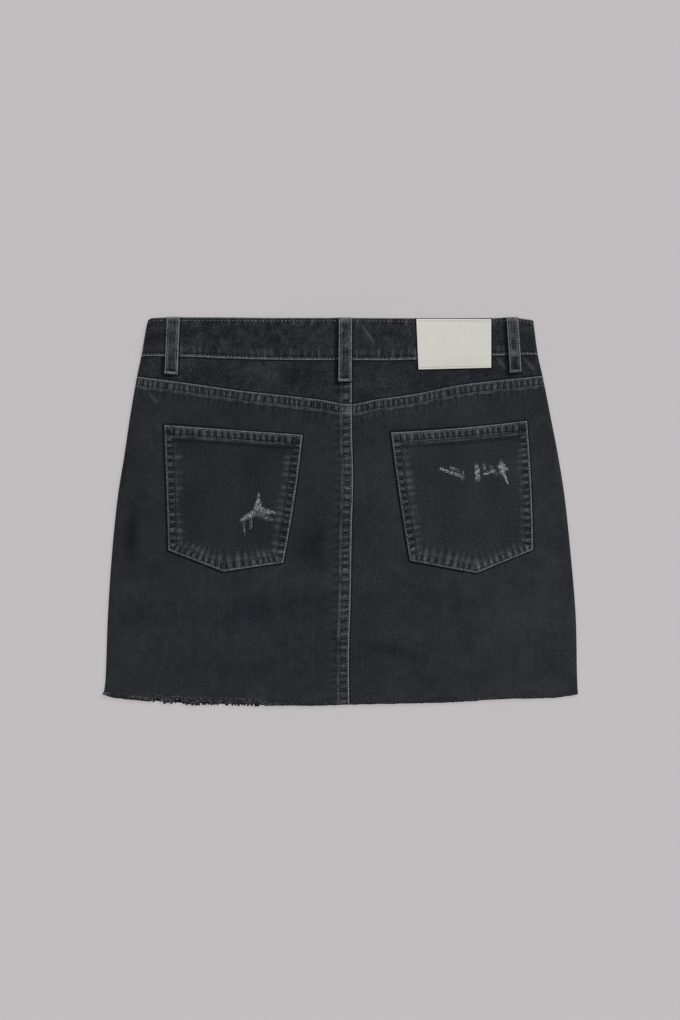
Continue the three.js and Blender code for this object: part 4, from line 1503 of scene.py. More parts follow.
class SKIRT_OT_back_panels(bpy.types.Operator):
    """Sew the two back panels, with felled seams and a raw hem"""

    bl_idname = "skirt.back_panels"
    bl_label = "Back Panels"

    def execute(self, context):
        sewing, looks = skirt_settings(context)
        rows = lines(300, HEM_LINES, SEAM_LINES, 1.9)

        def raw_hem(x):
            return hem_line(x) + frayed(x)

        for side, flat, area in (("left", (0.262, 0.336), 0.0795), ("right", (0.24, 0.334), 0.0735)):
            name = "denim_back_" + side
            piece = back_shell(name, side, raw_hem, yoke_seam, rows, panel_marks, sewing, looks["denim"])
            finish_piece(piece, ["back_panel_" + side], flat, area)
        return {"FINISHED"}


class SKIRT_OT_yokes(bpy.types.Operator):
    """Sew the two halves of the back yoke"""

    bl_idname = "skirt.yokes"
    bl_label = "Yokes"

    def execute(self, context):
        sewing, looks = skirt_settings(context)
        rows = lines(35, EDGE_LINES[:6], EDGE_LINES[:6], 1.4)

        def bottom(x):
            return yoke_seam(x) + SEAM

        def top(x):
            return band_low(x) - SEAM

        for side, flat, area in (("left", (0.218, 0.052), 0.0072), ("right", (0.194, 0.05), 0.0064)):
            name = "denim_yoke_" + side
            piece = back_shell(name, side, bottom, top, rows, yoke_marks, sewing, looks["denim"])
            finish_piece(piece, ["yoke_" + side], flat, area)
        return {"FINISHED"}


def band_section(x, share, faces, dip):
    """One stretch of the waistband: its two faces over a row of x, from its lower to its top edge."""
    y = mix(band_low(x), band_top(x), share) - dip
    return [stack(x, y, z) for z in faces]


def band_turn(edge, inward, share, angles):
    """The waistband round a side: half an ellipse from the front's faces to the back's."""
    grids = []
    for semi, start in ((SIDE_TURN, 0.0), (SIDE_TURN - BAND, BAND)):
        inset = start + semi * (1 - np.cos(angles))
        y = np.full((len(share), len(angles)), BAND_MIDDLE)
        for _ in range(8):
            x = edge(y) + inward * inset
            y = mix(band_low(x), band_top(x), share)
        high = inside(x, y) + BAND
        half = high / 2 - (0 if start == 0 else BAND)
        grids.append(stack(x, y, high / 2 + half * np.sin(angles)))
    return grids


class SKIRT_OT_waistband(bpy.types.Operator):
    """Sew the waistband on, once round the skirt, with its buttonhole end over its button end"""

    bl_idname = "skirt.waistband"
    bl_label = "Waistband"

    def execute(self, context):
        sewing, looks = skirt_settings(context)
        height = band_top(0.0) - band_low(0.0)
        middle = 0.5
        slit, hole = BUTTONHOLE_HALF / height, SHANK_HOLE / height
        edge_lines = EDGE_LINES[:7]
        share, offset = lines(height, edge_lines, edge_lines, 1.3)
        even = share + offset / height
        cuts = np.array([middle - hole, middle - slit, middle + slit, middle + hole])
        even = even[np.min(np.abs(even[:, None] - cuts), axis=1) > 0.3 / height]
        share = np.sort(np.append(even, cuts))[:, None]
        quarter = np.linspace(-np.pi / 2, np.pi / 2, 17)
        stops = np.array([BUTTONHOLE_END, BUTTON_X - SHANK_HOLE, BUTTON_X + SHANK_HOLE])
        spread = np.arange(-BAND_STRAIGHT, BAND_STRAIGHT + 0.1, 2.0)
        inner_x = np.unique(np.append(spread[spread > INNER_END], [INNER_END, *stops[1:]]))
        outer_x = np.unique(np.append(spread[spread < OUTER_END], [OUTER_END, *stops]))
        back_x = np.linspace(BAND_STRAIGHT, -BAND_STRAIGHT, 330)

        def front(x, face):
            z = np.broadcast_to(face(x), (len(share), len(x)))
            return band_section(x, share, (z, z + BAND), front_dip(x))

        low_y = mix(band_low(back_x), band_top(back_x), share)
        under = inside(back_x, low_y)
        stretches = [
            front(inner_x, inner_end),
            band_turn(right_side, -1, share, quarter),
            band_section(back_x, share, (under + BAND, under), 0),
            band_turn(left_side, 1, share, quarter[::-1]),
            front(outer_x, outer_end),
        ]
        outer, inner = (np.concatenate([s[face] for s in stretches], 1) for face in (0, 1))
        start = [0, *np.cumsum([s[0].shape[1] for s in stretches])]
        spine = outer[len(share) // 2]
        along = np.cumsum(np.linalg.norm(np.diff(spine, axis=0, prepend=spine[:1]), axis=1))
        from_low, from_top = share * height, (1 - share) * height
        marks = band_marks(from_low, from_top, along, sewing)
        back = slice(start[2], start[3])
        back_marks = back_band_marks(outer[:, back, 0], outer[:, back, 1], sewing)
        for name in Marks.NAMES:
            getattr(marks, name)[:, back] = getattr(back_marks, name)
        lift = marks.height - rounded(np.minimum(from_low, from_top))
        column = np.arange(len(along))
        outer[:, back, 2] += lift[:, back]
        in_front = (column < start[1]) | (column >= start[4])
        eased_in = in_front * smooth((BAND_STRAIGHT + 2 - np.abs(outer[0, :, 0])) / 12)
        outer[..., 2] += np.maximum(0, FRONT_CLEAR - lift) * eased_in
        centre_x = (outer[0, 1:, 0] + outer[0, :-1, 0]) / 2
        centre_share = (share[1:] + share[:-1]) / 2
        around_shank = (np.abs(centre_share - middle) < hole) & (np.abs(centre_x - BUTTON_X) < SHANK_HOLE)
        slot = (np.abs(centre_share - middle) < slit) & (centre_x > BUTTONHOLE_END) & (centre_x < BUTTON_X)
        on_inner = column[:-1] < start[1] - 1
        on_outer = column[:-1] >= start[4]
        cells = around_shank & (on_inner | on_outer) | slot & on_outer
        cloth = np.stack(np.broadcast_arrays(from_low, along), -1)
        piece = wall("denim_waistband", outer, inner, cloth, marks, looks["denim"], cells)
        finish_piece(
            piece, ["waistband"], (0.042, 0.802), 0.0315
        )
        return {"FINISHED"}


def pocket_grid(pocket):
    """Points of a pocket: u runs across it and v up it, between its bent foot and its top edge."""
    top_left_x, top_left_y, top_right_x, top_right_y = pocket["top"]
    low_left_x, low_left_y, low_right_x, low_right_y = pocket["bottom"]
    point_x, point_y = pocket["point"]
    left_bow, right_bow = pocket["bow"]
    width = top_right_x - top_left_x
    height = top_left_y - low_left_y
    share, offset = lines(width, SEAM_LINES, SEAM_LINES, 1.6)
    u = (share + offset / width)[None, :]
    share, offset = lines(height, SEAM_LINES, SEAM_LINES, 1.6)
    v = (share + offset / height)[:, None]
    bend = (point_x - low_left_x) / (low_right_x - low_left_x)
    before = np.clip(u / bend, 0, 1)
    after = np.clip((u - bend) / (1 - bend), 0, 1)
    foot_x = np.where(u < bend, mix(low_left_x, point_x, before), mix(point_x, low_right_x, after))
    foot_y = np.where(u < bend, mix(low_left_y, point_y, before), mix(point_y, low_right_y, after))
    bulge = 4 * v * (1 - v) * mix(left_bow, right_bow, u)
    x = mix(foot_x, mix(top_left_x, top_right_x, u), v) + bulge
    top_y = mix(top_left_y, top_right_y, u) - pocket["sag"] * 4 * u * (1 - u)
    y = mix(foot_y, top_y, v)
    return x, y


def pocket_marks(pocket, x, y, sewing):
    """A pocket: a doubled hem, a turned-in border with two rows of stitches, and puckers across it.

    The puckers are worn pale between the rows and in a halo inside the border, most of all low down.
    """
    from_top, along_top = distance_to(pocket_top(pocket), x, y)
    from_sides, along_sides = distance_to(pocket_outline(pocket), x, y)
    seed, (point_x, _) = pocket["seed"], pocket["point"]
    low = smooth((-28 - y) / 14)
    border = layer(from_sides, POCKET_BORDER)
    hem = layer(from_top, pocket["hem"])
    around = pucker_count(along_sides, from_sides, 6.9, seed)
    over = pucker_count(along_top, from_top, 6.6, seed + 10)
    marks = Marks(np.shape(x))
    between_rows = smooth((from_sides - 1.2) / 1.6) * smooth((8.6 - from_sides) / 2.6) * (1 - hem)
    marks.sewn(from_sides, around, 0.8 * between_rows)
    marks.sewn(from_top, over, smooth((from_top - 1) / 1.2) * ridge(from_top, 5.4, 3.4))

    side_zone = smooth(from_sides / 1.2) * smooth((17 - from_sides) / 9) * (1 - hem)
    top_zone = smooth((from_top - 1.4) / 1.4) * smooth((10 - from_top) / 1.6)
    rows = sum(ridge(from_sides, row, 0.55) for row in POCKET_ROWS) * (1 - hem)
    rows = rows + ridge(from_top, POCKET_HEM_ROW - 1, 0.5)
    marks.height = np.maximum(POCKET_BORDER_RAISE * border, POCKET_HEM_RAISE * hem)
    marks.height += sewing.pucker_height / MM * (wave(around) * side_zone + wave(over) * top_zone)
    marks.height += 0.08 * cloud(x, y, 17, seed + 3) - 0.1 * rows

    streaks = (0.5 + 0.5 * wave(around)) ** 2
    fine = 0.5 + 0.5 * wave(2 * around + 0.3)
    lumps = 0.6 + 0.7 * cloud(along_sides, from_sides, 6.5, seed + 2)
    lumps = lumps + 0.35 * cloud(along_sides, from_sides, 2.4, seed + 5)
    halo_at = mix(*pocket["halo"], smooth((x - point_x) / 20 + 0.5)) - 1.5 * low
    halo = ridge(from_sides, halo_at, 3.6) * smooth((from_top - 14) / 12)
    corner = smooth((9.5 - from_sides) / 2) * hem
    spots = ridge(from_sides, 4.4, 1.7) * (1 - hem) * np.maximum(streaks - 0.2, 0)
    fold = 0.4 + 0.3 * cloud(along_top, 0 * x, 4, seed)
    marks.pale = (0.46 * streaks + 0.08 * fine) * halo * lumps + 0.02 * halo
    marks.pale += (0.1 * low - 0.15) * border + (0.3 + 0.3 * low) * spots * lumps
    marks.pale += 0.16 * low * ridge(from_sides, 14, 5) * (streaks - 0.3) - 0.22 * rows
    # Painted light and shade on the very edge: lit right of the pocket's point, shaded left of it, as light
    # from the right would fall
    marks.pale += (0.42 * (x > point_x) - 0.25) * ridge(from_sides, 0.3, 0.8)
    marks.pale += 0.1 * ridge(from_sides, 9, 1.6) * (1 - hem) + 0.2 * corner * lumps
    marks.pale += fold * ridge(from_top, pocket["hem"] - 0.3, 0.7) - 0.06 * hem
    marks.pale -= 0.14 * ridge(from_top, pocket["hem"] + 2.7, 1.5)
    marks.pale += 0.18 * ridge(from_top, 2.6, 1.2) * lumps + 0.12 * ridge(from_top, 0.8, 1.1)
    # The creases' term is painted light and shade, paler on their ridges and darker in their troughs
    marks.pale += 0.04 * cloud(x, y, 22, seed + 4) + 0.3 * hills(CREASES, x, y) + pocket["tone"]
    marks.fuzz += pocket["fuzz"]
    marks.edge_at(np.minimum(from_top, from_sides))
    return marks


def pocket_surface(pocket, x, y):
    """The plain inner face of a pocket: over the panel, and a little fuller away from its seams."""
    from_sides, _ = distance_to(pocket_outline(pocket), x, y)
    return inside(x, y) + DENIM + POCKET_OFF + POCKET_PUFF * smooth(from_sides / POCKET_RISE)


def pocket_face(pocket, x, y, sewing):
    """The outer face of a pocket, under its threads."""
    return pocket_surface(pocket, x, y) + DENIM + pocket_marks(pocket, x, y, sewing).height


class SKIRT_OT_back_pockets(bpy.types.Operator):
    """Sew the two patch pockets on the back"""

    bl_idname = "skirt.back_pockets"
    bl_label = "Back Pockets"

    def execute(self, context):
        sewing, looks = skirt_settings(context)
        for node, pocket in POCKETS.items():
            x, y = pocket_grid(pocket)
            marks = pocket_marks(pocket, x, y, sewing)
            marks.pale += worn_through(STROKES[node], x, y)
            low = pocket_surface(pocket, x, y)
            outer = stack(x, y, low + DENIM + marks.height - rounded(marks.edge))
            piece = wall("denim_" + node, outer, stack(x, y, low), outer[..., :2], marks, looks["denim"])
            finish_piece(piece, [node], (0.143, 0.153), 0.0181)
        return {"FINISHED"}


# Threadbare strokes on the pockets: from and to, the width at each end, how thick the bare threads
# lie, and by how many degrees they stray from the stroke
STROKES = {
    "back_pocket_left": table(
        "x y to_x to_y wide to_wide cover stray",
        (-81.5, 17.7, -82.6, 10.5, 0.8, 3.4, 1, 18),
        (-82.6, 10.5, -82, 0, 3.4, 11, 0.9, 40),
        (-80, 1, -65.8, -1.7, 5, 2.4, 0.9, 30),
        (-86.5, -1, -99, -9, 6, 3.6, 0.8, 40),
        (-77, -5, -68, -8.6, 5, 2.4, 0.3, 80),
        (-96.4, -10, -95.8, -24, 2.2, 1.6, 0.1, 6),
        (-89.2, -7, -89.6, -17.8, 3.2, 2.6, 0.1, 6),
    ),
    "back_pocket_right": table(
        "x y to_x to_y wide to_wide cover stray",
        (99.6, 42.6, 122.4, 34.4, 1.8, 3.4, 0.7, 28),
        (110, 43.6, 118.4, 40.2, 2.6, 2.2, 0.35, 60),
        (122.6, 39.2, 121, 32.4, 1.4, 1.8, 0.7, 20),
        (135.6, 46.4, 137, 39, 3.4, 4, 0.6, 40),
        (136.4, 40.5, 137.2, 31.6, 5, 4.6, 0.9, 60),
        (142.8, 46.6, 144, 41.4, 2.8, 2.4, 0.45, 50),
        (143.6, 37.2, 154, 40.4, 2, 3, 0.9, 24),
        (149.6, 45, 156, 35.4, 3, 2.6, 0.25, 80),
        (160.6, 49, 162, 38, 4.2, 5.4, 1, 50),
        (157.6, 44.8, 167, 42, 3, 2.4, 0.8, 20),
        (162.4, 40, 166.6, 28.6, 3.2, 1, 0.9, 8),
    ),
}


def worn_through(strokes, x, y):
    """How pale the cloth is worn under the bare threads: most along the middle of each stroke."""
    pale = np.zeros(np.shape(x))
    for x0, y0, x1, y1, wide, to_wide, cover, _ in zip(*strokes.values()):
        t = ((x - x0) * (x1 - x0) + (y - y0) * (y1 - y0)) / ((x1 - x0) ** 2 + (y1 - y0) ** 2)
        t = np.clip(t, 0, 1)
        distance = np.hypot(x - mix(x0, x1, t), y - mix(y0, y1, t))
        past = distance - mix(wide, to_wide, t) / 2
        core = smooth(0.5 - past / 1.4)
        pale = np.maximum(pale, (0.2 + 0.5 * cover) * core * (0.9 + 0.6 * cloud(x, y, 1.7, 301)))
        pale = np.where(pale < 0.05, np.minimum(pale, -0.12 * smooth((3 - past) / 3)), pale)
    return pale


class SKIRT_OT_label(bpy.types.Operator):
    """Sew the bare leather label on"""

    bl_idname = "skirt.label"
    bl_label = "Label"

    def execute(self, context):
        sewing, looks = skirt_settings(context)
        width, height = LABEL["right"] - LABEL["left"], LABEL["top"] - LABEL["bottom"]
        share, offset = lines(width, EDGE_LINES, EDGE_LINES, 1.2)
        u = (share + offset / width)[None, :]
        share, offset = lines(height, EDGE_LINES, EDGE_LINES, 1.0)
        v = (share + offset / height)[:, None]
        x, y = label_point(u, v)
        low = label_rest(x, y)
        marks = Marks(np.shape(x))
        marks.edge_at(np.minimum(np.minimum(u, 1 - u) * width, np.minimum(v, 1 - v) * height))
        dent = 0.12 * (ridge((1 - v) * height, LABEL_ROW, 0.5) + ridge(v * height, LABEL_ROW, 0.5))
        uneven = 0.12 * cloud(x, y, 19, 401) + 0.05 * cloud(x, y, 7, 402)
        outer = stack(x, y, low + LABEL["thick"] - 0.8 * rounded(marks.edge) - dent + uneven)
        piece = wall("leather_label", outer, stack(x, y, low), outer[..., :2], marks, looks["leather"])

        def on_label(x, y):
            return label_rest(x, y) + LABEL["thick"] - 0.12

        rows = []
        for up in (LABEL_ROW / height, 1 - LABEL_ROW / height):
            path = label_point(np.linspace(0.02, 0.98, 60), np.full(60, up))
            rows.append(stitch_row(np.stack(path, 1), on_label, sewing))
        seam = sew("label_stitches", rows, looks["label thread"], sewing)
        finish_piece(piece, ["label"], (0.075, 0.0505), 0.00375)
        return {"FINISHED"}


def label_point(u, v):
    """A point of the label, whose lower left corner is further right and lower than square."""
    x = mix(LABEL["left"], LABEL["right"], u) + LABEL["lean"] * (1 - u) * (1 - v)
    y = mix(LABEL["bottom"] - LABEL["sag"] * (1 - u), LABEL["top"], v)
    return np.broadcast_arrays(x, y)


def label_rest(x, y):
    """The label's inner face: flat on the waistband, and sloping from its lower edge to the yoke."""
    slope = np.clip((band_low(x) - SEAM - y) / LABEL_SLOPE, 0, 1)
    return inside(x, y) + BAND + SEAM - (BAND - DENIM) * slope


class SKIRT_OT_belt_loops(bpy.types.Operator):
    """Sew the three belt loops on the back and the two on the front"""

    bl_idname = "skirt.belt_loops"
    bl_label = "Belt Loops"

    def execute(self, context):
        sewing, looks = skirt_settings(context)
        for number, (node, loop) in enumerate(LOOPS.items()):
            seed = 501 + 10 * number
            piece = wall("strip_" + node, *back_loop(loop, seed), looks["denim"])
            flat = (round(loop["wide"] * MM, 4), round((loop["top"] - loop["foot"]) * MM, 4))
            rows = loop_threads(loop, sewing, seed)
            seam = sew("bars_" + node, rows, looks["sewing thread"], sewing)
            finish_piece(piece, [node], flat, None)
        for number, (node, x) in enumerate(FRONT_LOOPS.items()):
            piece = wall("strip_" + node, *front_loop(x, 551 + 10 * number), looks["denim"])
            flat = (FRONT_LOOP_WIDE * MM, FRONT_LOOP_LONG * MM)
            finish_piece(piece, [node], flat, None)
        return {"FINISHED"}


def strip_marks(across, wide, step, length, seed):
    """A belt loop's strip: ribs by its two rows of stitches, and a worn fold at its foot and its top."""
    marks = Marks(np.broadcast(across, step).shape)
    from_edge = wide / 2 - np.abs(across)
    from_foot = length - step
    ribs = ridge(from_edge, 3.0, 0.5)
    trough = ridge(from_edge, 1.7, 0.55) + 0.6 * ridge(from_edge, 4.2, 0.5)
    mottle = cloud(across, step, 1.3, seed) * 0.5 + cloud(across, step, 4.5, seed + 1) * 0.5
    streak = cloud(across, 0.16 * step, 0.9, seed + 2)
    foot = smooth((2.9 - from_foot) / 0.7)
    body = (1 - foot) * (1 - 0.55 * ridge(from_foot, 7, 5))
    marks.height = 0.16 * ribs - 0.14 * trough + 0.25 * foot + 0.06 * mottle
    marks.pale = (0.2 + 0.48 * ribs - 0.34 * trough + 0.34 * mottle + 0.22 * streak) * body
    marks.pale += foot * (0.75 + 0.5 * mottle) - 0.5 * ridge(from_foot, 3.9, 0.8)
    marks.pale += 0.75 * smooth((5.5 - step) / 4) * (1 + 0.6 * mottle)
    marks.pale += 0.4 * ridge(from_edge, 0.3, 0.8) * (1 + mottle)
    marks.fuzz += 0.12
    marks.edge_at(from_edge)
    marks.edge_at(np.minimum(step, from_foot))
    return marks


def strip_grid(length, wide, long_step, wide_step):
    """The places across and down a belt loop's strip."""
    share, offset = lines(length, EDGE_LINES, EDGE_LINES, long_step)
    step = (share * length + offset)[:, None]
    share, offset = lines(wide, EDGE_LINES[:8], EDGE_LINES[:8], wide_step)
    return (share * wide + offset - wide / 2)[None, :], step


def loop_face(loop, across, step, seed):
    """A back belt loop's place, two heights and marks at a distance across it and down it."""
    length, wide = loop["top"] - loop["foot"], loop["wide"]
    part = step / length
    middle_x = loop["x"] + loop["lean"] * part
    y = loop["top"] - step - across / wide * loop["tilt"] * smooth(part * 2 - 1)
    rest = highest_under(middle_x, loop["top"] - step, wide / 2, LOOP_CLEAR) + SEAM
    marks = strip_marks(across, wide, step, length, seed)
    if loop["tilt"] < 0:  # the right loop has a rubbed spot and a dark one
        marks.pale += 0.8 * ridge(step, 36, 3.2) * ridge(across, -0.5, 3.4) - 0.2 * ridge(step, 46, 5)
    arch = 0.25 * np.sin(np.pi * part)
    top = rest + LOOP_TURNED + LOOP_CLOTH + arch + marks.height - 1.3 * rounded(marks.edge)
    from_end = np.minimum(step, length - step)
    turned = smooth((LOOP_TURNED_LONG + LOOP_STEP - from_end) / LOOP_STEP)
    low = rest + LOOP_TURNED * (1 - turned)
    return middle_x + across, y, top, low, marks


def back_loop(loop, seed):
    """A belt loop on the back: its turned-in ends rest on the skirt, with a low gap between them."""
    across, step = strip_grid(loop["top"] - loop["foot"], loop["wide"], 1.0, 0.7)
    x, y, top, low, marks = loop_face(loop, across, step, seed)
    cloth = np.stack(np.broadcast_arrays(across, step), -1)
    return stack(x, y, top), stack(x, y, low), cloth, marks


def loop_threads(loop, sewing, seed):
    """Threads that hold a back belt loop: two rows down it, and a dense bar of them at each end."""
    length, wide = loop["top"] - loop["foot"], loop["wide"]
    pitch = sewing.stitch_length / MM
    step = np.arange(4.5, length - 4, pitch)[:, None] + STITCH_REACH * pitch
    rise = np.array([-0.24, 0.1, 0.16, 0.1, -0.24])
    paths = []
    for across in (2.2 - wide / 2, wide / 2 - 2.2):
        x, y, top, _, _ = loop_face(loop, across + 0 * step, step, seed)
        paths.append(stack(x, y, top + rise))
    across = np.arange(-wide / 2 - 0.3, wide / 2 + 0.4, 0.62)[:, None]
    slant = np.where(np.arange(len(across)) % 2, 1, -1)[:, None]
    across = across + np.array([-0.3, -0.15, 0, 0.15, 0.3]) * slant
    held = np.clip(across, 0.4 - wide / 2, wide / 2 - 0.4)
    past = across - held
    for middle in (1.5, length - 1.5):
        down = middle + np.array([-1.1, -0.8, 0, 0.8, 1.1])
        x, y, top, _, _ = loop_face(loop, held, down + 0 * held, seed)
        paths.append(stack(x + past, y, top + 1.2 * rise - 1.1 * np.abs(past)))
    return paths


def front_loop(x, seed):
    """A belt loop on the front, pressed flat between the table and the waistband."""
    across, step = strip_grid(FRONT_LOOP_LONG, FRONT_LOOP_WIDE, 1.6, 0.9)
    marks = strip_marks(across, FRONT_LOOP_WIDE, step, FRONT_LOOP_LONG, seed)
    y = band_top(x) - front_dip(x) - step
    face = np.maximum(0.02, 0.4 - marks.height + rounded(marks.edge))
    cloth = np.stack(np.broadcast_arrays(across, step), -1)
    return stack(x + across, y, face), stack(x + across, y, LOOP_CLOTH), cloth, marks


class SKIRT_OT_front_panels(bpy.types.Operator):
    """Sew the two front panels, the left lapped over the right at the fly"""

    bl_idname = "skirt.front_panels"
    bl_label = "Front Panels"

    def execute(self, context):
        sewing, looks = skirt_settings(context)
        rows = lines(335, np.array([0, 0.8, 2, 4]), EDGE_LINES[:6], 3.2)
        for side, flat, area in (("left", (0.252, 0.353), 0.0825), ("right", (0.246, 0.352), 0.0795)):
            piece = front_shell(side, rows, sewing, looks["denim"])
            finish_piece(piece, ["front_panel_" + side], flat, area)
        return {"FINISHED"}


def front_shell(side, rows, sewing, material):
    """A front panel, with its outer face down."""
    is_left = side == "left"
    seam_lines = SEAM_LINES[::2] if is_left else LAP_LINES
    columns, turned = turned_columns(side, FRONT_SPANS[side], seam_lines, 3.4)
    left = left_side if is_left else (lambda y: 0 * y + LAP_RIGHT_EDGE)
    right = (lambda y: 0 * y + LAP_LEFT_EDGE) if is_left else right_side

    def bottom(x):
        return hem_line(x) + FRONT_HEM_SHORTER + 0.6 * frayed(-x)

    grids = []
    for face in (0, 1):
        x, y = crossings(left, right, bottom, front_waist, columns[face], rows)
        marks = Marks(x.shape)
        if is_left:
            felled(marks, LAP_LEFT_EDGE - x, y, 7.4, 601, sewing.pucker_height / MM)
            sewn = 0.25 + 0.75 * smooth((FLY_END - y) / 12)
            for name in ("height", "pale", "bars"):
                setattr(marks, name, getattr(marks, name) * sewn)
        else:
            # Painted shade beside the left panel's lapped edge
            marks.shade_at(x - LAP_LEFT_EDGE)
        # Painted shade under the waistband's edge
        marks.shade_at(front_waist(x) - y)
        common_marks(marks, -x, y + 24, 611)
        # The outer face stays flat on the table over the felled seam, and is only dented by puckers
        relief = marks.height - FELL_RAISE * (marks.height > 0.5)
        pressed = np.clip(0.12 - 0.3 * relief, 0, 0.3) + rounded(marks.edge)
        flat = front_face(side, x, y) + (pressed if face == 0 else DENIM)
        middle = (side_lie(y) + DENIM) / 2 - SEAM / 2
        grids.append((stack(x, y, mix(middle, flat, turned)), marks))
    (outer, marks), (inner, _) = grids
    return wall("denim_front_" + side, outer, inner, outer[..., :2], marks, material)


class SKIRT_OT_fastenings(bpy.types.Operator):
    """Set the shank button and finish the shut zip"""

    bl_idname = "skirt.fastenings"
    bl_label = "Button and Zip"

    def execute(self, context):
        _, looks = skirt_settings(context)
        profile = table(
            "r z",
            (0, 0.5),
            (5.6, 0.5),
            (6.0, 0.15),
            (6.8, 0),
            (7.9, 0.12),
            (8.4, 0.6),
            (8.5, 1.2),
            (8.2, 1.9),
            (7.6, 2.2),
            (2.3, 2.2),
            (2.2, 2.6),
            (2.2, 7.5),
            (4.5, 7.5),
            (4.5, 7.9),
            (4.0, 8.35),
            (0, 8.4),
        )
        angle = np.linspace(0, 2 * np.pi, 72, endpoint=False)
        r, z = profile["r"][1:-1, None], profile["z"][1:-1, None]
        x, y = BUTTON_X + r * np.cos(angle), button_y() + r * np.sin(angle)
        body = stack(x, y, z).reshape(-1, 3)
        low = [(BUTTON_X, button_y(), profile["z"][0])]
        high = [(BUTTON_X, button_y(), profile["z"][-1])]
        points = np.concatenate([body, low, high])
        index = np.arange(len(body)).reshape(len(r), -1)
        ring = np.concatenate([index, index[:, :1]], 1)
        caps = [
            fan(ring[0, 1:], ring[0, :-1], len(body)),
            fan(ring[-1, :-1], ring[-1, 1:], len(body) + 1),
        ]
        faces = np.concatenate([quads(ring).reshape(-1, 4), *caps])
        button = mesh_of_mixed("shank_button", points, faces, looks["metal"])
        finish_piece(button, ["button"])
        zip_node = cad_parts["zip"]
        zip_node.data.materials.clear()
        zip_node.data.materials.append(looks["tape"])
        return {"FINISHED"}


def offset_inside(path, distance):
    """A path moved to its left by a distance, each corner along its two sides' shared direction."""
    ahead = np.diff(path, axis=0)
    ahead /= np.linalg.norm(ahead, axis=1, keepdims=True)
    left = np.stack([-ahead[:, 1], ahead[:, 0]], 1)
    before = np.concatenate([left[:1], left])
    after = np.concatenate([left, left[-1:]])
    shared = before + after
    shared /= (shared * before).sum(1, keepdims=True)
    return path + shared * distance


class SKIRT_OT_stitching(bpy.types.Operator):
    """Run the rows of stitches along every seam that shows"""

    bl_idname = "skirt.stitching"
    bl_label = "Stitching"

    def execute(self, context):
        sewing, looks = skirt_settings(context)
        thread, dark = looks["sewing thread"], looks["dark thread"]

        def on_back(x, y):
            return back_surface(x, y, sewing)

        def row_across(line, longer=1.0):
            """A row from side to side, along a curve."""
            x = np.linspace(-205, 205, 600)
            y = line(x)
            on_cloth = (x > left_side(y) + 0.8) & (x < right_side(y) - 0.8)
            return stitch_row(np.stack([x, y], 1)[on_cloth], on_back, sewing, longer=longer)

        up = np.linspace(-191, 152, 240)
        yoke_rows = [row_across(lambda x, inset=inset: yoke_seam(x) - inset) for inset in FELL_ROWS]
        outer_row, inner_row = (
            stitch_row(np.stack([centre_back(up) - inset, up], 1), on_back, sewing) for inset in FELL_ROWS
        )
        sew("seam_stitches", [*yoke_rows, outer_row], thread, sewing)
        sew("inner_stitches_centre_back", [inner_row], dark, sewing)
        band_rows = [
            row_across(lambda x: band_low(x) + BAND_ROW_LOW, 1.3),
            row_across(lambda x: band_top(x) - BAND_ROW_TOP, 1.3),
        ]
        sew("waistband_stitches", band_rows, looks["worn thread"], sewing)
        sew("front_stitches", front_rows(sewing), thread, sewing)
        outer, inner = POCKET_ROWS
        for node, pocket in POCKETS.items():

            def on_pocket(x, y, pocket=pocket):
                return pocket_face(pocket, x, y, sewing)

            def row(path, inset, on_pocket=on_pocket):
                return stitch_row(offset_inside(path, inset), on_pocket, sewing)

            outline, top = pocket_outline(pocket), pocket_top(pocket)
            sew("inner_stitches_" + node, [row(outline, inner)], dark, sewing)
            rows = [row(outline, outer), row(top, -2.3), row(top[1:-1], -POCKET_HEM_ROW)]
            sew("stitches_" + node, rows, thread, sewing)
        return {"FINISHED"}


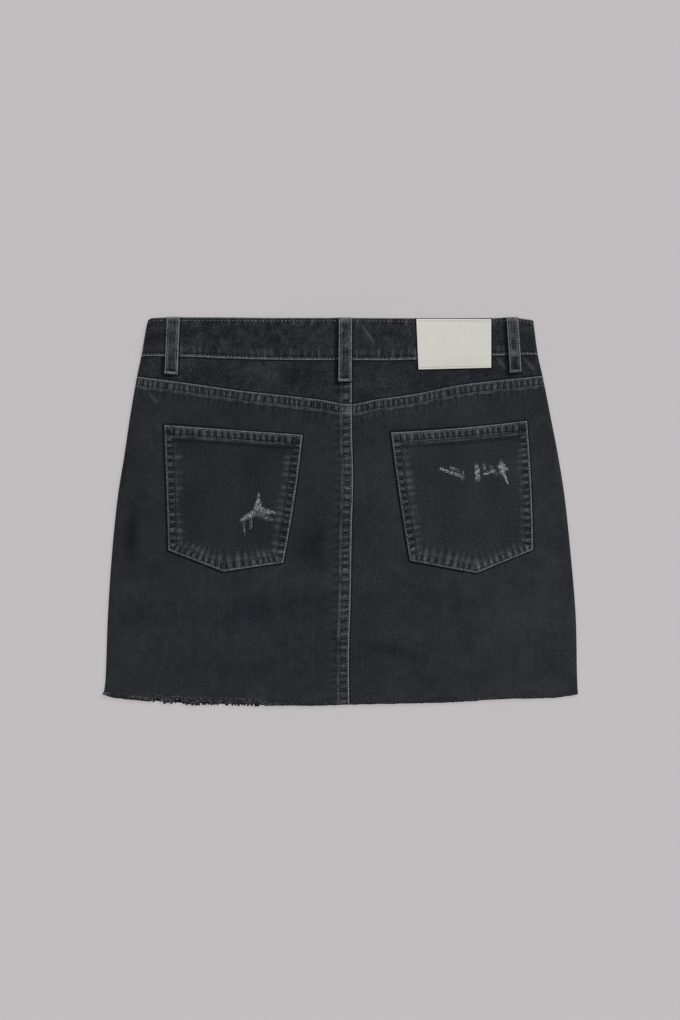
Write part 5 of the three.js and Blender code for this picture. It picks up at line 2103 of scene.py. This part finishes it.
class SKIRT_OT_fray(bpy.types.Operator):
    """Let loose threads hang from the raw hem"""

    bl_idname = "skirt.fray"
    bl_label = "Frayed Hem"

    def execute(self, context):
        sewing, looks = skirt_settings(context)
        chance = np.random.default_rng(701)
        longest = sewing.fray_length / MM
        t = np.linspace(0, 1, 5)

        # Dark ends in clumps at the cut edge, filling where the cloth stops short
        middles = np.arange(-188, -56, 3.3)
        middles = middles + chance.uniform(-1.2, 1.2, len(middles))
        middles = np.concatenate([middles, chance.uniform(-236, 236, 30)])
        each = 13
        own = np.repeat(chance.uniform(-0.7, 0.7, len(middles)), each)
        spread = np.repeat(chance.uniform(0.55, 1.15, len(middles)), each)
        x = np.repeat(middles, each) + spread * chance.uniform(-1, 1, each * len(middles))
        held = (x > -235) & (x < 236)
        x, own = x[held], own[held]
        open_x = (1 - 0.95 * notches(x)) * (0.3 + 0.7 * ragged(x))
        count = len(x)
        top = hem_line(x) + frayed(x) + chance.uniform(0.3, 1.2, count)
        low = hem_line(x) + frayed(x) * (1 - open_x) + (own - 0.2 + chance.normal(0, 0.25, count)) * open_x
        lean = chance.normal(0, 0.3, count)
        path_x = x[:, None] + lean[:, None] * t + 0.2 * np.sin(4 * t + x[:, None])
        path_y = mix(top[:, None], low[:, None], t)
        start = back_surface(x, top, sewing) + 0.05
        end = chance.uniform(0.8, 2.2, count)
        path_z = mix(start[:, None], end[:, None], t**1.5)
        radii = (0.34 - 0.08 * t) * chance.uniform(0.75, 1.25, (count, 1))
        loose = threads("hem_tufts", stack(path_x, path_y, path_z), radii, looks["dark fray"], 4)
        finish_piece(loose)

        # Pale flecks and curls over the last few millimetres
        x = np.concatenate([chance.uniform(-212, -60, 430), chance.uniform(-236, 236, 260)])
        count = len(x)
        near = chance.uniform(0, 1, count) ** 1.4 * (2.5 + 3 * ragged(x)) + 1.6 * (x < -192)
        y = hem_line(x) + frayed(x) + 0.6 + near
        angle = chance.normal(np.pi / 2, 0.75, count)
        half = 0.5 * longest * chance.uniform(0.12, 0.5, count) * (0.6 + 0.4 * ragged(x))
        bend = chance.normal(0, 0.35, count)
        s = 2 * t - 1
        path_x = x[:, None] + half[:, None] * (s * np.cos(angle)[:, None] + bend[:, None] * (1 - s**2))
        path_y = y[:, None] + half[:, None] * s * np.sin(angle)[:, None]
        inner_y = np.maximum(path_y, hem_line(path_x) + frayed(path_x) + 0.1)
        path_z = back_surface(path_x, inner_y, sewing) + 0.12 + 0.1 * (1 - s**2)
        path_z = path_z - 0.9 * np.clip(inner_y - path_y, 0, 1.5)
        radii = (0.2 - 0.05 * np.abs(s)) * chance.uniform(0.6, 1.25, (count, 1))
        loose = threads("hem_flecks", stack(path_x, path_y, path_z), radii, looks["pale fray"], 4)
        finish_piece(loose)
        return {"FINISHED"}


class SKIRT_OT_bare_threads(bpy.types.Operator):
    """Lay the bare threads over the threadbare places on the pockets"""

    bl_idname = "skirt.bare_threads"
    bl_label = "Bare Threads"

    def execute(self, context):
        sewing, looks = skirt_settings(context)
        s = np.linspace(-1, 1, 5)
        for seed, (node, pocket) in enumerate(POCKETS.items()):
            chance = np.random.default_rng(801 + seed)
            paths, radii = [], []
            for x0, y0, x1, y1, wide, to_wide, cover, stray in zip(*STROKES[node].values()):
                long = math.hypot(x1 - x0, y1 - y0)
                count = int(3 + 1.6 * cover * long * (wide + to_wide) / 2)
                t = chance.uniform(0, 1, count)
                off = np.clip(chance.normal(0, 0.27, count), -0.6, 0.6) * mix(wide, to_wide, t)
                ahead = np.array([x1 - x0, y1 - y0]) / long
                x = mix(x0, x1, t) - off * ahead[1]
                y = mix(y0, y1, t) + off * ahead[0]
                angle = math.atan2(ahead[1], ahead[0]) + chance.normal(0, math.radians(stray), count)
                half = chance.uniform(0.5, 1.5, count) * (2 if stray < 10 else 1)
                bend = chance.normal(0, 0.3, count) * min(stray / 30, 1)
                along = half[:, None] * s
                aside = (half * bend)[:, None] * (1 - s**2)
                path_x = x[:, None] + along * np.cos(angle)[:, None] - aside * np.sin(angle)[:, None]
                path_y = y[:, None] + along * np.sin(angle)[:, None] + aside * np.cos(angle)[:, None]
                base = pocket_face(pocket, path_x, path_y, sewing)
                lift = 0.06 + 0.3 * (1 - s**2) * chance.uniform(0.2, 1, (count, 1))
                paths.append(stack(path_x, path_y, base + lift))
                thickness = (0.19 - 0.06 * np.abs(s)) * chance.uniform(0.65, 1.25, (count, 1))
                radii.append(thickness * mix(0.6, 1, cover))
            name = "bare_threads_" + node.split("_")[-1]
            yarn = threads(name, np.concatenate(paths), np.concatenate(radii), looks["bare yarn"], 4)
            finish_piece(yarn)
        return {"FINISHED"}


OPERATORS = (
    SKIRT_OT_stage,
    SKIRT_OT_back_panels,
    SKIRT_OT_yokes,
    SKIRT_OT_waistband,
    SKIRT_OT_back_pockets,
    SKIRT_OT_belt_loops,
    SKIRT_OT_label,
    SKIRT_OT_front_panels,
    SKIRT_OT_fastenings,
    SKIRT_OT_stitching,
    SKIRT_OT_fray,
    SKIRT_OT_bare_threads,
)


class SKIRT_PT_pieces(bpy.types.Panel):
    """Lists the skirt's pieces and settings"""

    bl_idname = "SKIRT_PT_pieces"
    bl_label = "Denim Skirt"
    bl_space_type = "VIEW_3D"
    bl_region_type = "UI"
    bl_category = "Skirt"

    def draw(self, context):
        layout = self.layout
        for operator in OPERATORS:
            layout.operator(operator.bl_idname)
        for settings in ("skirt_sewing", "skirt_finish", "skirt_studio"):
            group = getattr(context.scene, settings)
            column = layout.box().column()
            for name in group.bl_rna.properties.keys():
                if name not in ("rna_type", "name"):
                    column.prop(group, name)


CLASSES = (SkirtSewing, SkirtFinish, SkirtStudio, *OPERATORS, SKIRT_PT_pieces)


def register():
    for cls in CLASSES:
        bpy.utils.register_class(cls)
    bpy.types.Scene.skirt_sewing = bpy.props.PointerProperty(type=SkirtSewing)
    bpy.types.Scene.skirt_finish = bpy.props.PointerProperty(type=SkirtFinish)
    bpy.types.Scene.skirt_studio = bpy.props.PointerProperty(type=SkirtStudio)


def unregister():
    for settings in ("skirt_sewing", "skirt_finish", "skirt_studio"):
        delattr(bpy.types.Scene, settings)
    for cls in reversed(CLASSES):
        bpy.utils.unregister_class(cls)


def main():
    """Makes every piece in order."""
    register()
    for operator in OPERATORS:
        group, name = operator.bl_idname.split(".")
        getattr(getattr(bpy.ops, group), name)()


if __name__ == "__main__":
    main()
